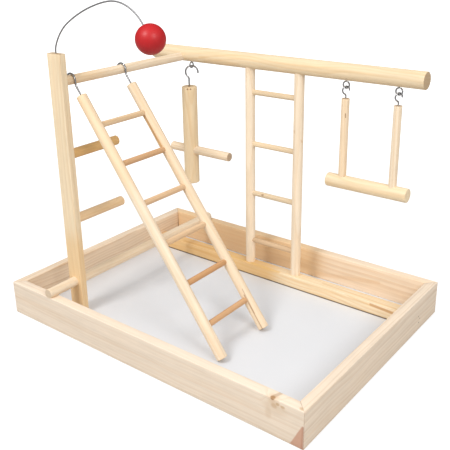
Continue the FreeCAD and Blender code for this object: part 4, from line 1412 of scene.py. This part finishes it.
def stage_camera():
    s = bpy.context.scene.stage_settings
    a, e, roll = s.camera_azimuth, s.camera_elevation, s.camera_roll
    forward = Vector((-math.sin(a) * math.cos(e), math.cos(a) * math.cos(e), -math.sin(e)))
    right = Vector((math.cos(a), math.sin(a), 0.0))
    up = right.cross(forward)
    turned_right = right * math.cos(roll) + up * math.sin(roll)
    turned_up = -right * math.sin(roll) + up * math.cos(roll)
    data = bpy.data.cameras.new("photo_camera")
    data.lens = s.lens
    data.sensor_width = 36.0
    data.shift_y = PHOTO_SHIFT / PHOTO_SIZE
    camera = bpy.data.objects.new("photo_camera", data)
    camera.matrix_world = Matrix((
        (turned_right.x, turned_up.x, -forward.x, s.camera_place[0]),
        (turned_right.y, turned_up.y, -forward.y, s.camera_place[1]),
        (turned_right.z, turned_up.z, -forward.z, s.camera_place[2]),
        (0, 0, 0, 1)))
    bpy.context.scene.collection.objects.link(camera)
    bpy.context.scene.camera = camera


def build_stage():
    scene = bpy.context.scene
    scene.view_settings.view_transform = "Standard"
    s = scene.stage_settings
    stage_camera()
    stage_world(s.sky_strength)
    stage_floor()
    aim = Vector((0.0, 0.0, 0.18))
    lamp("key_lamp", s.key_power, aim, width=0.72, azimuth=-10, elevation=46, distance=2.3)
    lamp("side_lamp", s.side_power, aim, width=1.00, azimuth=69, elevation=36, distance=2.4)


# ---------------------------------------------------------------- operators and panel

class PlayStandOperator:
    """Runs the steps of one group of pieces; a step that fails stops it."""
    steps = ()

    def execute(self, context):
        for step in self.steps:
            step()
        return {"FINISHED"}


class PLAYSTAND_OT_finishes(PlayStandOperator, bpy.types.Operator):
    """Lay out the finishes and the shape rules that the pieces share"""
    bl_idname = "playstand.finishes"
    bl_label = "Finishes and rules"
    steps = (make_materials, make_trees)


class PLAYSTAND_OT_tray(PlayStandOperator, bpy.types.Operator):
    """Build the four mitred tray boards and the base strip"""
    bl_idname = "playstand.tray"
    bl_label = "Tray boards and strip"
    steps = (build_tray, build_strip)


class PLAYSTAND_OT_post(PlayStandOperator, bpy.types.Operator):
    """Build the tall post and its four perches"""
    bl_idname = "playstand.post"
    bl_label = "Post and perches"
    steps = (build_post, build_perches)


class PLAYSTAND_OT_beam(PlayStandOperator, bpy.types.Operator):
    """Build the beam and the ladder that stands under it"""
    bl_idname = "playstand.beam"
    bl_label = "Beam and standing ladder"
    steps = (build_beam, build_standing_ladder)


class PLAYSTAND_OT_leaning_ladder(PlayStandOperator, bpy.types.Operator):
    """Build the leaning ladder with its two hooks"""
    bl_idname = "playstand.leaning_ladder"
    bl_label = "Leaning ladder"
    steps = (build_leaning_ladder, build_ladder_hooks)


class PLAYSTAND_OT_swing(PlayStandOperator, bpy.types.Operator):
    """Build the swing with its hooks"""
    bl_idname = "playstand.swing"
    bl_label = "Swing"
    steps = (build_swing, build_swing_hooks)


class PLAYSTAND_OT_hanging_bar(PlayStandOperator, bpy.types.Operator):
    """Build the hanging bar, its cross perch and its hook"""
    bl_idname = "playstand.hanging_bar"
    bl_label = "Hanging bar"
    steps = (build_hanging_bar, build_hanging_hook)


class PLAYSTAND_OT_eyes(PlayStandOperator, bpy.types.Operator):
    """Build the three screw eyes under the beam"""
    bl_idname = "playstand.eyes"
    bl_label = "Screw eyes"
    steps = (build_eyes,)


class PLAYSTAND_OT_ball_arm(PlayStandOperator, bpy.types.Operator):
    """Build the wire arm and its red ball"""
    bl_idname = "playstand.ball_arm"
    bl_label = "Wire arm and ball"
    steps = (build_ball_arm, build_ball)


class PLAYSTAND_OT_fasteners(PlayStandOperator, bpy.types.Operator):
    """Build the nail heads and finish the panel, pins and screws"""
    bl_idname = "playstand.fasteners"
    bl_label = "Panel and fasteners"
    steps = (build_fasteners,)


class PLAYSTAND_OT_stage(PlayStandOperator, bpy.types.Operator):
    """Set up the pale floor, the soft lamps and the camera"""
    bl_idname = "playstand.stage"
    bl_label = "Stage"
    steps = (build_stage,)


OPERATORS = (PLAYSTAND_OT_finishes, PLAYSTAND_OT_stage, PLAYSTAND_OT_tray, PLAYSTAND_OT_post,
             PLAYSTAND_OT_beam, PLAYSTAND_OT_leaning_ladder, PLAYSTAND_OT_swing,
             PLAYSTAND_OT_hanging_bar, PLAYSTAND_OT_eyes, PLAYSTAND_OT_ball_arm,
             PLAYSTAND_OT_fasteners)


class PLAYSTAND_PT_panel(bpy.types.Panel):
    """The stand's parts and settings"""
    bl_idname = "PLAYSTAND_PT_panel"
    bl_label = "Play stand"
    bl_space_type = "VIEW_3D"
    bl_region_type = "UI"
    bl_category = "Play stand"

    def draw(self, context):
        column = self.layout.column()
        for operator in OPERATORS:
            column.operator(operator.bl_idname)
        for holder in ("stand_sizes", "stand_colours", "stage_settings"):
            group = getattr(context.scene, holder)
            box = column.box()
            for name in group.bl_rna.properties.keys():
                if name not in {"rna_type", "name"}:
                    box.prop(group, name)


GROUPS = {"stand_sizes": StandSizes, "stand_colours": StandColours,
          "stage_settings": StageSettings}


def register():
    for holder, group in GROUPS.items():
        bpy.utils.register_class(group)
        setattr(bpy.types.Scene, holder, PointerProperty(type=group))
    for item in (*OPERATORS, PLAYSTAND_PT_panel):
        bpy.utils.register_class(item)


def unregister():
    for item in reversed((*OPERATORS, PLAYSTAND_PT_panel)):
        bpy.utils.unregister_class(item)
    for holder, group in reversed(list(GROUPS.items())):
        delattr(bpy.types.Scene, holder)
        bpy.utils.unregister_class(group)


def main():
    register()
    for operator in OPERATORS:
        family, name = operator.bl_idname.split(".")
        getattr(getattr(bpy.ops, family), name)()


if __name__ == "__main__":
    main()
